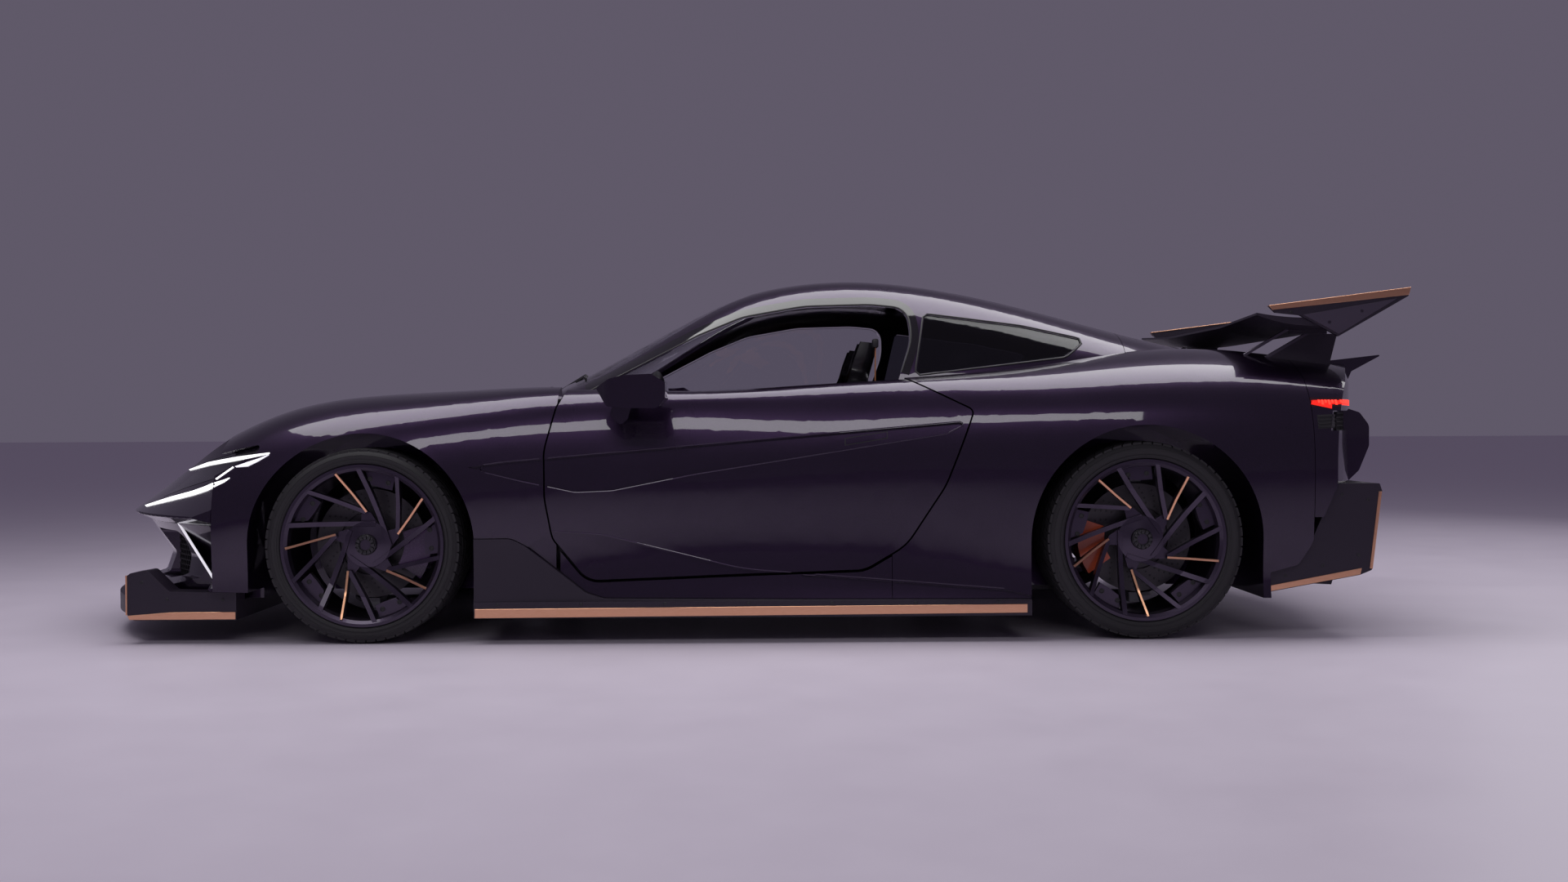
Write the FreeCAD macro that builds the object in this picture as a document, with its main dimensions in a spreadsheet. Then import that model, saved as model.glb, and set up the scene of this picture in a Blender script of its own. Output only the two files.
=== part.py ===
import FreeCAD, Part
import math
import os
import Sketcher
from FreeCAD import Placement, Rotation, Vector

# A two-seat hypercar with a long bonnet, built as separate panels on a cabin tub.
# Frame: the nose points to -X, the driver's side is -Y, +Z is up, and the origin is on the
# ground under the middle of the car. All sizes are millimetres.

doc = FreeCAD.newDocument("hypercar")
sheet = doc.addObject("Spreadsheet::Sheet", "Sizes")

SIZES = [
    # alias, value
    ("front_axle_x", -1350),      # front wheel centres
    ("wheelbase", 2827),
    ("front_tyre_radius", 352),
    ("rear_tyre_radius", 358),
    ("front_tyre_width", 285),
    ("rear_tyre_width", 325),
    ("tyre_face_y", 975),         # outer face of every tyre
    ("pin_y", 790),               # steering axis and ball joints
    ("bead_radius", 280),
    ("flange_radius", 293),
    ("barrel_wall", 14),
    ("hub_radius", 58),
    ("spoke_count", 5),
    ("spoke_width", 17),
    ("spoke_offset", 75),         # from the wheel's axis to the middle line of a long spoke
    ("blade_width", 8),
    ("disc_radius", 200),
    ("disc_thickness", 36),
    ("stub_radius", 30),
    ("running_gap", 0.3),         # between a shaft and its bearing
    ("seat_gap", 0.3),            # between a piece and its seat on another body
    ("panel_gap", 6),             # round doors, bonnet and boot lid
    ("seam_gap", 2),              # between fixed panels
    ("front_arch_radius", 405),
    ("rear_arch_radius", 418),
    ("well_inner_y", 520),
    ("sill_z", 150),              # lower edge of the painted panels
    ("ground_clearance", 92),
    ("door_inner_y", 770),
    ("roof_wall", 26),
    ("glass_thickness", 6),
    ("glass_inset", 3),
    ("lid_thickness", 24),
    ("tub_half_width", 762),
    ("tub_floor_z", 110),
    ("tub_wall", 40),
    ("frame_top_z", 880),         # flat seat of the roof frame
    ("bulkhead_y", 500),          # side walls of the engine bay and boot
    ("wing_span", 1720),
    ("wing_z", 1190),
    ("seat_width", 500),
    ("seat_y", 380),
    ("steering_radius", 180),
    ("exhaust_radius", 48),
]
for row, (alias, value) in enumerate(SIZES, start=1):
    sheet.set("A%d" % row, alias)
    sheet.set("B%d" % row, str(value))
    sheet.setAlias("B%d" % row, alias)
doc.recompute()


def size(alias):
    return float(sheet.get(alias))


class Cell(float):
    """A number read from the sheet, with the expression that a sketch binds it by."""


def cell(alias, more=0.0):
    number = Cell(size(alias) + more)
    number.formula = "Sizes.%s + %g" % (alias, more)
    return number


FRONT_X = size("front_axle_x")
REAR_X = FRONT_X + size("wheelbase")
LEFT = -1
RIGHT = 1
SIDES = {"left": LEFT, "right": RIGHT}

# ---------------------------------------------------------------- shapes from the tables


def through(points, params):
    curve = Part.BSplineCurve()
    curve.interpolate(Points=points, Parameters=params)
    return curve


def net_face(rows):
    """One smooth face through a net of points: each row is a cross-section at one x."""
    count = len(rows[0])
    first = rows[0][0].x
    length = rows[-1][0].x - first
    along = [(row[0].x - first) / length for row in rows]
    across = [0.0] * count
    for row in rows:
        total = sum((b - a).Length for a, b in zip(row, row[1:]))
        run = 0.0
        for place in range(1, count):
            run += (row[place] - row[place - 1]).Length
            across[place] += run / total / len(rows)
    across[-1] = 1.0
    rails = [through([row[place] for row in rows], along) for place in range(count)]
    poles = [rail.getPoles() for rail in rails]
    nets = [through([line[k] for line in poles], across) for k in range(len(poles[0]))]
    surface = Part.BSplineSurface()
    surface.buildFromPolesMultsKnots(
        [net.getPoles() for net in nets], rails[0].getMultiplicities(),
        nets[0].getMultiplicities(), rails[0].getKnots(), nets[0].getKnots(),
        False, False, 3, 3)
    return surface.toShape()


def chord(edge):
    return Part.LineSegment(edge.Vertexes[0].Point, edge.Vertexes[-1].Point).toShape()


def closed_skin(rows):
    """The net face closed by two flat ends and a flat floor."""
    face = net_face(rows)
    ends = [edge for edge in face.Edges if edge.BoundBox.XLength < 1]
    rails = [edge for edge in face.Edges if edge.BoundBox.XLength >= 1]
    faces = [face]
    for edge in ends:
        faces.append(Part.Face(Part.Wire(Part.__sortEdges__([edge, chord(edge)]))))
    floor = rails + [chord(edge) for edge in ends]
    faces.append(Part.Face(Part.Wire(Part.__sortEdges__(floor))))
    shell = Part.Shell(faces)
    shell.sewShape(0.01)
    solid = Part.Solid(shell)
    solid.fix(0.01, 0.01, 0.01)
    return solid


def mirrored_row(x, half):
    """A full cross-section from its right-hand half, listed from the floor up to y = 0."""
    left = [Vector(x, -y, z) for y, z in half]
    right = [Vector(x, y, z) for y, z in reversed(half[:-1])]
    return left + right


def rounded(rows):
    """A closed outline of straight lines, with each corner rounded by its own radius."""
    edges = []
    starts = []
    ends = []
    count = len(rows)
    arcs = []
    for place, (u, v, radius) in enumerate(rows):
        before = rows[place - 1]
        after = rows[(place + 1) % count]
        corner = Vector(u, v, 0)
        back = (Vector(before[0], before[1], 0) - corner).normalize()
        ahead = (Vector(after[0], after[1], 0) - corner).normalize()
        angle = back.getAngle(ahead)
        if radius <= 0 or abs(angle - math.pi) < 0.01:
            starts.append(corner)
            ends.append(corner)
            arcs.append(None)
            continue
        reach = radius / math.tan(angle / 2)
        middle = corner + (back + ahead).normalize() * (radius / math.sin(angle / 2) - radius)
        starts.append(corner + back * reach)
        ends.append(corner + ahead * reach)
        arcs.append(middle)
    for place in range(count):
        if arcs[place] is not None:
            edges.append(Part.Arc(starts[place], arcs[place], ends[place]).toShape())
        target = starts[(place + 1) % count]
        if (target - ends[place]).Length > 0.01:
            edges.append(Part.LineSegment(ends[place], target).toShape())
    return Part.Wire(edges)


def outline_face(rows, grow=0.0):
    """The flat face inside an outline, grown outwards by a clearance."""
    rows = [(row[0], row[1], row[2] if len(row) > 2 else 0) for row in rows]
    area = sum(a[0] * b[1] - b[0] * a[1] for a, b in zip(rows, rows[1:] + rows[:1]))
    wire = rounded(rows if area > 0 else rows[::-1])
    if grow:
        wire = wire.makeOffset2D(grow, 2, False, False, False)
    return Part.Face(wire)


def side_prism(rows, y_from, y_to, grow=0.0, slant=0.0):
    """An outline in x and z, pushed along y. A slant moves its far end along x."""
    face = outline_face(rows, grow)
    face.Placement = Placement(Vector(0, y_from, 0), Rotation(Vector(1, 0, 0), 90))
    return face.extrude(Vector(slant, y_to - y_from, 0))


def plan_prism(rows, z_from, z_to, grow=0.0, slant=0.0, true_z=0.0):
    """An outline in x and y, pushed along z. A slanted one is true to size at true_z."""
    face = outline_face(rows, grow)
    face.Placement = Placement(Vector(slant * (z_from - true_z), 0, z_from), Rotation())
    return face.extrude(Vector(slant * (z_to - z_from), 0, z_to - z_from))


def front_prism(rows, x_from, x_to):
    """An outline in y and z, pushed along x."""
    face = outline_face(rows)
    face.Placement = Placement(Vector(x_from, 0, 0), Rotation(Vector(0, 1, 0), Vector(0, 0, 1),
                                                              Vector(1, 0, 0)))
    return face.extrude(Vector(x_to - x_from, 0, 0))


def box(x0, x1, y0, y1, z0, z1):
    return Part.makeBox(x1 - x0, y1 - y0, z1 - z0, Vector(x0, y0, z0))


def rod(start, end, radius):
    axis = Vector(*end) - Vector(*start)
    return Part.makeCylinder(radius, axis.Length, Vector(*start), axis)


def flipped(shape):
    """The same shape on the other side of the car."""
    return shape.mirror(Vector(), Vector(0, 1, 0))


def both(shape):
    return Part.makeCompound([shape, flipped(shape)])


def biggest(shape):
    """The main solid of a cut, without the crumbs beside it."""
    return max(shape.Solids, key=lambda solid: solid.Volume)


PIECES = []


def finished(item):
    """Marks an object of the document as one of the parts to write."""
    item.Label = item.Name
    PIECES.append(item)
    return item


def piece(name, shape):
    """One sub-part of free form, under the name of its file."""
    item = doc.addObject("Part::Feature", name)
    item.Shape = shape
    return finished(item)


def bound_box(name, origin, extents):
    """A Part::Box whose corner and edges are numbers or formulas of the sheet."""
    item = doc.addObject("Part::Box", name)
    for target, value in zip(("Placement.Base.x", "Placement.Base.y", "Placement.Base.z",
                              "Length", "Width", "Height"), origin + extents):
        item.setExpression(target, value if isinstance(value, str) else "%g" % value)
    return item


def bound_rod(name, origin, turn, radius, height):
    """A Part::Cylinder from a point, along Z turned by a rotation."""
    item = doc.addObject("Part::Cylinder", name)
    item.Placement = Placement(Vector(*origin), turn)
    for target, value in (("Radius", radius), ("Height", height)):
        item.setExpression(target, value if isinstance(value, str) else "%g" % value)
    return item


def cut_away(name, base, tool):
    item = doc.addObject("Part::Cut", name)
    item.Base = base
    item.Tool = tool
    return item


# ---------------------------------------------------------------- master surfaces

# Lower body, one row for each cross-section: the centre line, the crest of the wing, the
# shoulder, the waist, the flank and the lower edge.
LOWER_BODY = [
    # x, centre z, crest y, z, shoulder y, z, waist y, z, flank y, z, edge y
    (-2500, 420, 560, 412, 730, 360, 790, 300, 800, 230, 800),
    (-2250, 545, 640, 548, 850, 480, 905, 380, 915, 260, 915),
    (-2000, 640, 690, 693, 890, 610, 960, 480, 968, 300, 968),
    (-1700, 738, 700, 835, 905, 735, 985, 560, 990, 350, 988),
    (-1350, 822, 705, 896, 912, 800, 993, 600, 995, 380, 992),
    (-1000, 872, 715, 915, 912, 835, 985, 640, 988, 400, 988),
    (-680, 898, 745, 926, 905, 848, 968, 640, 967, 400, 975),
    (-200, 905, 800, 908, 902, 853, 957, 660, 957, 400, 980),
    (300, 915, 805, 934, 903, 858, 957, 690, 957, 400, 985),
    (750, 940, 790, 962, 908, 885, 967, 720, 967, 400, 990),
    (1100, 970, 745, 996, 915, 912, 990, 740, 992, 400, 1000),
    (1477, 1000, 690, 1046, 915, 935, 1003, 745, 1005, 400, 1005),
    (1850, 1008, 650, 1056, 900, 945, 1000, 745, 1003, 400, 1002),
    (2150, 995, 625, 1026, 880, 930, 985, 740, 988, 420, 987),
    (2480, 972, 600, 992, 850, 905, 955, 735, 960, 440, 960),
]


def lower_body(drop=0.0, inset=0.0):
    rows = []
    base = size("sill_z")
    for (x, centre, crest_y, crest_z, shoulder_y, shoulder_z, waist_y, waist_z,
         flank_y, flank_z, edge_y) in LOWER_BODY:
        dip = centre + 0.3 * (crest_z - centre)
        half = [
            (edge_y - inset, base),
            (flank_y - inset, flank_z),
            (waist_y - inset, waist_z - drop),
            (shoulder_y - inset, shoulder_z - drop),
            (crest_y, crest_z - drop),
            (0.5 * crest_y, dip - drop),
            (0, centre - drop),
        ]
        rows.append(mirrored_row(x, half))
    return closed_skin(rows)


# Cabin above the belt, one row for each cross-section: the centre line, the roof rail and
# the belt.
CABIN = [
    # x, centre z, rail y, rail z, belt y, belt z
    (-800, 905, 540, 878, 690, 835),
    (-600, 997, 560, 953, 742, 880),
    (-400, 1098, 575, 1050, 776, 890),
    (-200, 1196, 590, 1150, 795, 900),
    (0, 1277, 600, 1234, 802, 915),
    (200, 1324, 603, 1276, 804, 925),
    (450, 1346, 603, 1289, 802, 935),
    (700, 1330, 598, 1270, 794, 950),
    (1000, 1275, 588, 1220, 770, 962),
    (1300, 1205, 570, 1152, 735, 968),
    (1650, 1122, 540, 1072, 680, 962),
    (1950, 1058, 500, 1020, 610, 945),
    (2250, 1006, 450, 975, 540, 920),
]
CABIN_BASE_Z = 790


def cabin_skin(inset):
    rows = []
    for x, centre, rail_y, rail_z, belt_y, belt_z in CABIN:
        lean = 0.5 * (rail_y + belt_y) + 26
        half = [
            (belt_y + 10 - inset, CABIN_BASE_Z),
            (belt_y - inset, belt_z),
            (lean - inset, 0.5 * (rail_z + belt_z) + 8 - 0.3 * inset),
            (rail_y - 0.8 * inset, rail_z - 0.7 * inset),
            (0.5 * rail_y, centre - 0.22 * (centre - rail_z) - inset),
            (0, centre - inset),
        ]
        rows.append(mirrored_row(x, half))
    return closed_skin(rows)


NOSE_CENTRE_X = -1267
NOSE_RADIUS = 1197
TAIL_CENTRE_X = 579
TAIL_RADIUS = 1873
SKY = 1500


def plan_round(centre_x, radius, z_from=0, z_to=SKY):
    return Part.makeCylinder(radius, z_to - z_from, Vector(centre_x, 0, z_from))


def turned_about(centre_x, rows):
    """A profile in radius and height turned about an upright axis in the middle plane."""
    face = outline_face(rows)
    face.Placement = Placement(Vector(centre_x, 0, 0), Rotation(Vector(1, 0, 0), 90))
    return face.revolve(Vector(centre_x, 0, 0), Vector(0, 0, 1), 360)


BODY = lower_body()
CABIN_OUTER = cabin_skin(0)
CABIN_INNER = cabin_skin(size("roof_wall"))
CABIN_CLEAR = cabin_skin(-size("seam_gap"))

# The nose comes to an edge all round, with a deep undercut below it and a chin.
NOSE = BODY.common(turned_about(NOSE_CENTRE_X, [
    (0, 140), (1177, 140), (1177, 195, 10), (1080, 226, 16), (1056, 300, 30), (1138, 427, 8),
    (NOSE_RADIUS, 455, 5), (1078, 545, 200), (997, 625, 300), (900, 780), (700, 1020),
    (0, 1020)]))


def well(axle_x, radius, tyre_radius, side):
    """The space round a wheel: an arch above the axle and straight sides below it."""
    inner = size("well_inner_y")
    outer = 1200
    arch = Part.makeCylinder(radius, outer - inner, Vector(axle_x, inner, tyre_radius),
                             Vector(0, 1, 0))
    skirt = box(axle_x - radius, axle_x + radius, inner, outer, -50, tyre_radius)
    shape = arch.fuse(skirt)
    return shape if side == RIGHT else flipped(shape)


FRONT_WELL = well(FRONT_X, size("front_arch_radius"), size("front_tyre_radius"), LEFT)
REAR_WELL = well(REAR_X, size("rear_arch_radius"), size("rear_tyre_radius"), LEFT)

# Shut line of the door in x and z, with its corner radii.
DOOR = [
    (-560, 990, 0), (-640, 846, 60), (-684, 690, 200), (-682, 520, 200), (-655, 375, 60),
    (-530, 222, 90), (-60, 240, 0), (470, 258, 120), (620, 345, 200), (760, 560, 300),
    (868, 830, 18), (640, 950, 20), (620, 1010, 0),
]
DOOR_SLANT = 30

# Opening for the window above the door.
DOOR_WINDOW = [
    (-640, 860, 0), (-560, 905, 0), (-315, 1032, 60), (-150, 1117, 150), (20, 1186, 260),
    (250, 1226, 500), (500, 1232, 400), (640, 1218, 62), (650, 1100, 200), (600, 950, 0),
    (590, 860, 0),
]
QUARTER_WINDOW = [
    (664, 966, 12), (708, 1196, 16), (1080, 1150, 300), (1322, 1098, 12), (1236, 1034, 40),
]
# Windscreen and rear window in plan.
WINDSCREEN = [(-612, -655, 30), (60, -520, 60), (28, 0, 4000), (60, 520, 60), (-612, 655, 30),
              (-712, 0, 3000)]
REAR_WINDOW = [(900, -430, 60), (1420, -385, 60), (1420, 385, 60), (900, 430, 60)]
# Bonnet and rear hatch in plan. Their edges lean so that they lift clear of their neighbours.
BONNET = [(-2190, -300, 200), (-2060, -560, 160), (-1500, -618, 900), (-745, -640, 50),
          (-845, 0, 3000), (-745, 640, 50), (-1500, 618, 900), (-2060, 560, 160),
          (-2190, 300, 200)]
BONNET_SLANT = -0.35
BONNET_TRUE_Z = 750
HATCH = [(790, -488, 50), (1860, -452, 60), (1860, 452, 60), (790, 488, 50)]
HATCH_SLANT = 0.35
HATCH_TRUE_Z = 1180
BUMPER_SEAM_X = -1885
REAR_SEAM_X = 2080


def bonnet_prism(grow):
    return plan_prism(BONNET, 350, SKY, grow, BONNET_SLANT, BONNET_TRUE_Z)


def hatch_prism(grow):
    return plan_prism(HATCH, 800, SKY, grow, HATCH_SLANT, HATCH_TRUE_Z)


# ---------------------------------------------------------------- cabin tub and structure

TUB_FRONT_X = -700
TUB_REAR_X = 760
FRAME_Z = size("frame_top_z")
TUB_Y = size("tub_half_width")
BULKHEAD_Y = size("bulkhead_y")
WALL = size("tub_wall")
FLOOR_Z = size("tub_floor_z")
SEAT_GAP = size("seat_gap")
PANEL_GAP = size("panel_gap")
SEAM = size("seam_gap")
SILL_TOP_Z = 330
TUNNEL_Y = 110
TUNNEL_Z = 330


def cabin_tub():
    """Floor, sills, tunnel, firewall and rear bulkhead in one moulding, open above."""
    length = TUB_REAR_X - TUB_FRONT_X
    outer = bound_box("tub_outer", (TUB_FRONT_X, "-Sizes.tub_half_width", "Sizes.tub_floor_z"),
                      (length, "2 * Sizes.tub_half_width",
                       "Sizes.frame_top_z - Sizes.tub_floor_z"))
    inner = ("%g + Sizes.tub_wall" % TUB_FRONT_X, "%g - 2 * Sizes.tub_wall" % length)
    room = bound_box("tub_room",
                     (inner[0], "90 - Sizes.tub_half_width",
                      "Sizes.tub_floor_z + Sizes.tub_wall"),
                     (inner[1], "2 * Sizes.tub_half_width - 180", SKY))
    doorway = bound_box("tub_doorway", (TUB_FRONT_X + 130, -1000, SILL_TOP_Z),
                        (length - 280, 2000, SKY))
    tunnel = bound_box("tub_tunnel", (inner[0], -TUNNEL_Y, "Sizes.tub_floor_z + Sizes.tub_wall"),
                       (inner[1], 2 * TUNNEL_Y,
                        "%g - Sizes.tub_floor_z - Sizes.tub_wall" % TUNNEL_Z))
    hollow = cut_away("tub_hollow", cut_away("tub_shell", outer, room), doorway)
    tub = doc.addObject("Part::MultiFuse", "cabin_tub")
    tub.Shapes = [hollow, tunnel]
    tub.Refine = True
    return finished(tub)


def front_frame():
    """Walls of the engine bay ahead of the tub, with the cross-member under the nose."""
    frame = None
    for side in SIDES.values():
        y_in = side * (BULKHEAD_Y - 40)
        y_out = side * BULKHEAD_Y
        rail = side_prism([(TUB_FRONT_X, 170), (TUB_FRONT_X, 780), (-930, 780), (-1500, 700),
                           (-1850, 560), (-1860, 170)], y_in, y_out)
        frame = rail if frame is None else frame.fuse(rail)
    cross = box(-1900, -1860, -BULKHEAD_Y, BULKHEAD_Y, 150, 520)
    floor = box(-1860, TUB_FRONT_X, -BULKHEAD_Y, BULKHEAD_Y, 150, 170)
    return frame.fuse([cross, floor]).removeSplitter()


def rear_frame():
    """Walls round the boot and the final drive, behind the tub."""
    frame = None
    for side in SIDES.values():
        rail = side_prism([(TUB_REAR_X, 300), (TUB_REAR_X, 860), (1800, 860), (2150, 800),
                           (2150, 420), (1900, 300)], side * (BULKHEAD_Y - 40),
                          side * BULKHEAD_Y)
        frame = rail if frame is None else frame.fuse(rail)
    cross = box(2110, 2150, -BULKHEAD_Y, BULKHEAD_Y, 420, 800)
    tray = box(TUB_REAR_X, 2110, -BULKHEAD_Y + 40, BULKHEAD_Y - 40, 560, 590)
    floor = box(TUB_REAR_X, 1250, -BULKHEAD_Y, BULKHEAD_Y, 130, 160)
    drop = box(TUB_REAR_X, TUB_REAR_X + 40, -BULKHEAD_Y, BULKHEAD_Y, 130, 590)
    latch = box(1690, 1760, -BULKHEAD_Y + 40, BULKHEAD_Y - 40, 820, 860)
    hub_z = size("rear_tyre_radius")
    pass_hole = rod((REAR_X, -600, hub_z), (REAR_X, 600, hub_z), 60)
    return frame.fuse([cross, tray, floor, drop, latch]).cut(pass_hole).removeSplitter()


cabin_tub()
piece("front_frame", front_frame())
piece("rear_frame", rear_frame())


def arm_window(axle_x, hub_z):
    """Where the suspension passes through the liner of a wheel well."""
    return box(axle_x - 190, axle_x + 190, -size("well_inner_y") - 1, -BULKHEAD_Y + 1, 0,
               hub_z + 280)


# ---------------------------------------------------------------- body panels

SKIRT = [
    # the lower edge of the painted side: the dark blade below it is its own panel
    (-945, 375, 0), (-815, 375, 60), (-765, 350, 60), (-545, 178, 60), (-480, 158, 80),
    (300, 152, 0), (1059, 150, 0),
]
SKIRT_LOW_Z = size("ground_clearance")
SKIRT_BODY = SKIRT + [(1059, SKIRT_LOW_Z, 0), (-945, SKIRT_LOW_Z, 0)]

DOOR_OUT_Y = 1060


def door_prism(grow, y_to=-size("door_inner_y") + 0.01):
    slant = -DOOR_SLANT * (y_to + DOOR_OUT_Y) / (DOOR_OUT_Y - size("door_inner_y"))
    return side_prism(DOOR, -DOOR_OUT_Y, y_to, grow, slant)


def door_gap(extra=0):
    """The door's opening, cut from the panels round it right through to the tub."""
    return door_prism(PANEL_GAP + extra, -TUB_Y)


SILL_EXTRA = 4                # the door's foot swings in over the rising sill


def skirt_prism(grow, y_from=-1040, y_to=-TUB_Y):
    return side_prism(SKIRT_BODY, y_from, y_to, grow)


BONNET_DEPTH = 70
CABIN_KEEP_OUT = CABIN_CLEAR.common(box(-2600, 2600, -1100, 1100, 700, SKY))
SPINE_X = 1478                # where the side windows' frame ends in the rear wings
LEDGE_Z = 874                 # seat of the window glass in the door
LEDGE_Y = 824
# Dark box at each rear corner in x and z; its space runs on past the tail.
TAIL_CORNER_EDGE = [(1925, 240), (2025, 266, 20), (2070, 330, 60), (2158, 533, 10),
                    (2172, 560)]
TAIL_CORNER_SPACE = [(1925, 100)] + TAIL_CORNER_EDGE + [(2700, 560), (2700, 100)]

# Panels behind the nose's edge: the flank steps in ahead of a slanted lamp edge.
CORNER_RECESS = [(-2600, 425), (-2075, 425, 12), (-1893, 190, 6), (-1700, 186), (-1700, 100),
                 (-2600, 100)]
FENCE_Y = 846
# Hollow drawn along the flank from behind the front wheel to the door's rear edge.
SCALLOP = [
    (-965, 633, 0), (-833, 650, 200), (-200, 703, 2000), (805, 788, 6), (822, 780, 4),
    (761, 749, 40), (287, 675, 2000), (-156, 606, 600), (-451, 548, 160), (-584, 543, 120),
    (-775, 585, 300),
]
# The lower flank steps in below a crease that falls towards the rear wheel.
BLADE = [
    (-680, 398, 0), (-490, 384, 300), (17, 257, 900), (968, 183, 0), (1075, 160, 0),
    (1075, 140, 0), (-560, 140, 0), (-760, 340, 0),
]
FLANK_INNER = lower_body(inset=14)
HOLLOWS = side_prism(SCALLOP, -1100, -700).fuse(side_prism(BLADE, -1100, -700)).cut(FLANK_INNER)


def support_foot(grow):
    return box(1994 - grow, 2243 + grow, -706 - grow, -694 + grow, 985 - grow, SKY)


def front_fender():
    zone = box(BUMPER_SEAM_X, -500, -1100, -BULKHEAD_Y, 0, SKY)
    shape = BODY.common(zone)
    shape = shape.cut(FRONT_WELL)
    shape = shape.cut(door_gap())
    shape = shape.cut(box(-655, -400, -1100, 0, 0, SKY))
    shape = shape.cut(box(TUB_FRONT_X - SEAT_GAP, 0, -TUB_Y - SEAT_GAP, 0, 0, SKY))
    shape = shape.cut(arm_window(FRONT_X, size("front_tyre_radius")))
    shape = shape.cut(bonnet_prism(PANEL_GAP).cut(lower_body(drop=BONNET_DEPTH)))
    shape = shape.cut(skirt_prism(SEAM))
    shape = shape.cut(CABIN_KEEP_OUT)
    shape = shape.cut(headlamp_prism(SEAM))
    shape = shape.cut(side_prism(CORNER_RECESS, -1100, -FENCE_Y + 40))
    return biggest(shape.cut(HOLLOWS))


def cowl_panel():
    """The strip between the bonnet and the windscreen."""
    zone = box(-900, TUB_FRONT_X - SEAM, -BULKHEAD_Y + SEAM, BULKHEAD_Y - SEAM,
               780 + SEAT_GAP, SKY)
    shape = BODY.common(zone).cut(bonnet_prism(PANEL_GAP)).cut(CABIN_KEEP_OUT)
    return biggest(shape)


HEADLAMP = [(-2250, 500, 10), (-2085, 553, 20), (-1890, 605, 20), (-1735, 692, 12),
            (-1728, 716, 8), (-1800, 702, 20), (-2062, 640, 12), (-2100, 600, 30),
            (-2260, 520, 8)]


def headlamp_prism(grow):
    return side_prism(HEADLAMP, -1100, -BULKHEAD_Y - 120, grow)


def rear_quarter():
    zone = box(560, REAR_SEAM_X, -1100, -BULKHEAD_Y, 0, SKY)
    shape = BODY.common(zone).cut(CABIN_KEEP_OUT.common(box(0, SPINE_X, -1100, 0, 0, SKY)))
    haunch = CABIN_OUTER.common(box(SPINE_X, REAR_SEAM_X, -1100, -BULKHEAD_Y, 0, SKY))
    shape = shape.fuse(haunch)
    shape = shape.cut(REAR_WELL)
    shape = shape.cut(arm_window(REAR_X, size("rear_tyre_radius")))
    shape = shape.cut(side_prism(TAIL_CORNER_SPACE, -1100, 0, SEAM))
    shape = shape.cut(support_foot(SEAT_GAP))
    shape = shape.cut(door_gap())
    shape = shape.cut(box(0, TUB_REAR_X + SEAT_GAP, -TUB_Y - SEAT_GAP, 0, 0, SKY))
    shape = shape.cut(skirt_prism(SEAM))
    return biggest(shape.cut(HOLLOWS))


def sill_panel():
    """The painted sill between the door and the skirt, back to the rear arch."""
    zone = box(-640, 560 - SEAM, -1100, -TUB_Y - SEAT_GAP, 0, SKY)
    shape = BODY.common(zone)
    shape = shape.cut(door_gap(SILL_EXTRA))
    shape = shape.cut(skirt_prism(SEAM))
    shape = shape.cut(box(-2000, 2000, -1100, 0, 420, SKY))
    return biggest(shape.cut(HOLLOWS))


def side_skirt():
    """The dark blade along the foot of the car, a little proud of the paint."""
    wide = lower_body(inset=-12)
    zone = skirt_prism(0, -1100, -TUB_Y - SEAT_GAP)
    upper = wide.common(zone)
    lower = side_prism([(-945, SKIRT_LOW_Z), (1059, SKIRT_LOW_Z), (1059, size("sill_z")),
                        (-945, size("sill_z"))], -1000, -TUB_Y - SEAT_GAP)
    shape = upper.fuse(lower).cut(FRONT_WELL).cut(REAR_WELL)
    return biggest(shape)


def door(side):
    shape = BODY.common(door_prism(0)).cut(HOLLOWS)
    ledge = box(-800, 1000, -LEDGE_Y, 0, LEDGE_Z, SKY)
    shape = shape.cut(ledge)
    lug = box(-640, -560, -size("door_inner_y"), -TUB_Y - SEAT_GAP, 420, 640)
    shape = biggest(shape).fuse(lug)
    return shape if side == LEFT else flipped(shape)


def bonnet():
    under = lower_body(drop=size("lid_thickness"))
    shape = BODY.common(bonnet_prism(0)).cut(under).cut(CABIN_KEEP_OUT)
    shape = biggest(shape)
    for side in SIDES.values():
        y = side * (BULKHEAD_Y - 20)
        shape = shape.fuse(box(-910, -850, y - 12, y + 12, 780 + SEAT_GAP, 890))
    return shape


def boot_lid():
    """The long hatch that carries the rear window, with its latch at the tail end."""
    shell = CABIN_OUTER.cut(CABIN_INNER).common(hatch_prism(0))
    shell = shell.cut(plan_prism(REAR_WINDOW, 900, SKY))
    shell = shell.cut(box(0, 3000, -1000, 1000, 0, 900))
    latch = box(1700, 1740, -40, 40, 860 + SEAT_GAP, 1080)
    return biggest(shell).fuse(latch)


def rear_deck():
    """The fixed deck behind the hatch, under the wing."""
    zone = box(SPINE_X, REAR_SEAM_X, -BULKHEAD_Y + SEAM, BULKHEAD_Y - SEAM, 0, SKY)
    shape = BODY.fuse(CABIN_OUTER.common(zone)).common(zone)
    shape = shape.cut(hatch_prism(PANEL_GAP))
    low = box(0, 3000, -1000, 1000, 0, 860 + SEAT_GAP)
    boot = box(0, REAR_SEAM_X - 60, -BULKHEAD_Y + 45, BULKHEAD_Y - 45, 0, 940)
    return biggest(shape.cut(low).cut(boot))


MOUTH_Y = 430                 # half width of the opening in the nose
MOUTH_LOW_Z = 165
MOUTH_HIGH_Z = 400


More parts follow.
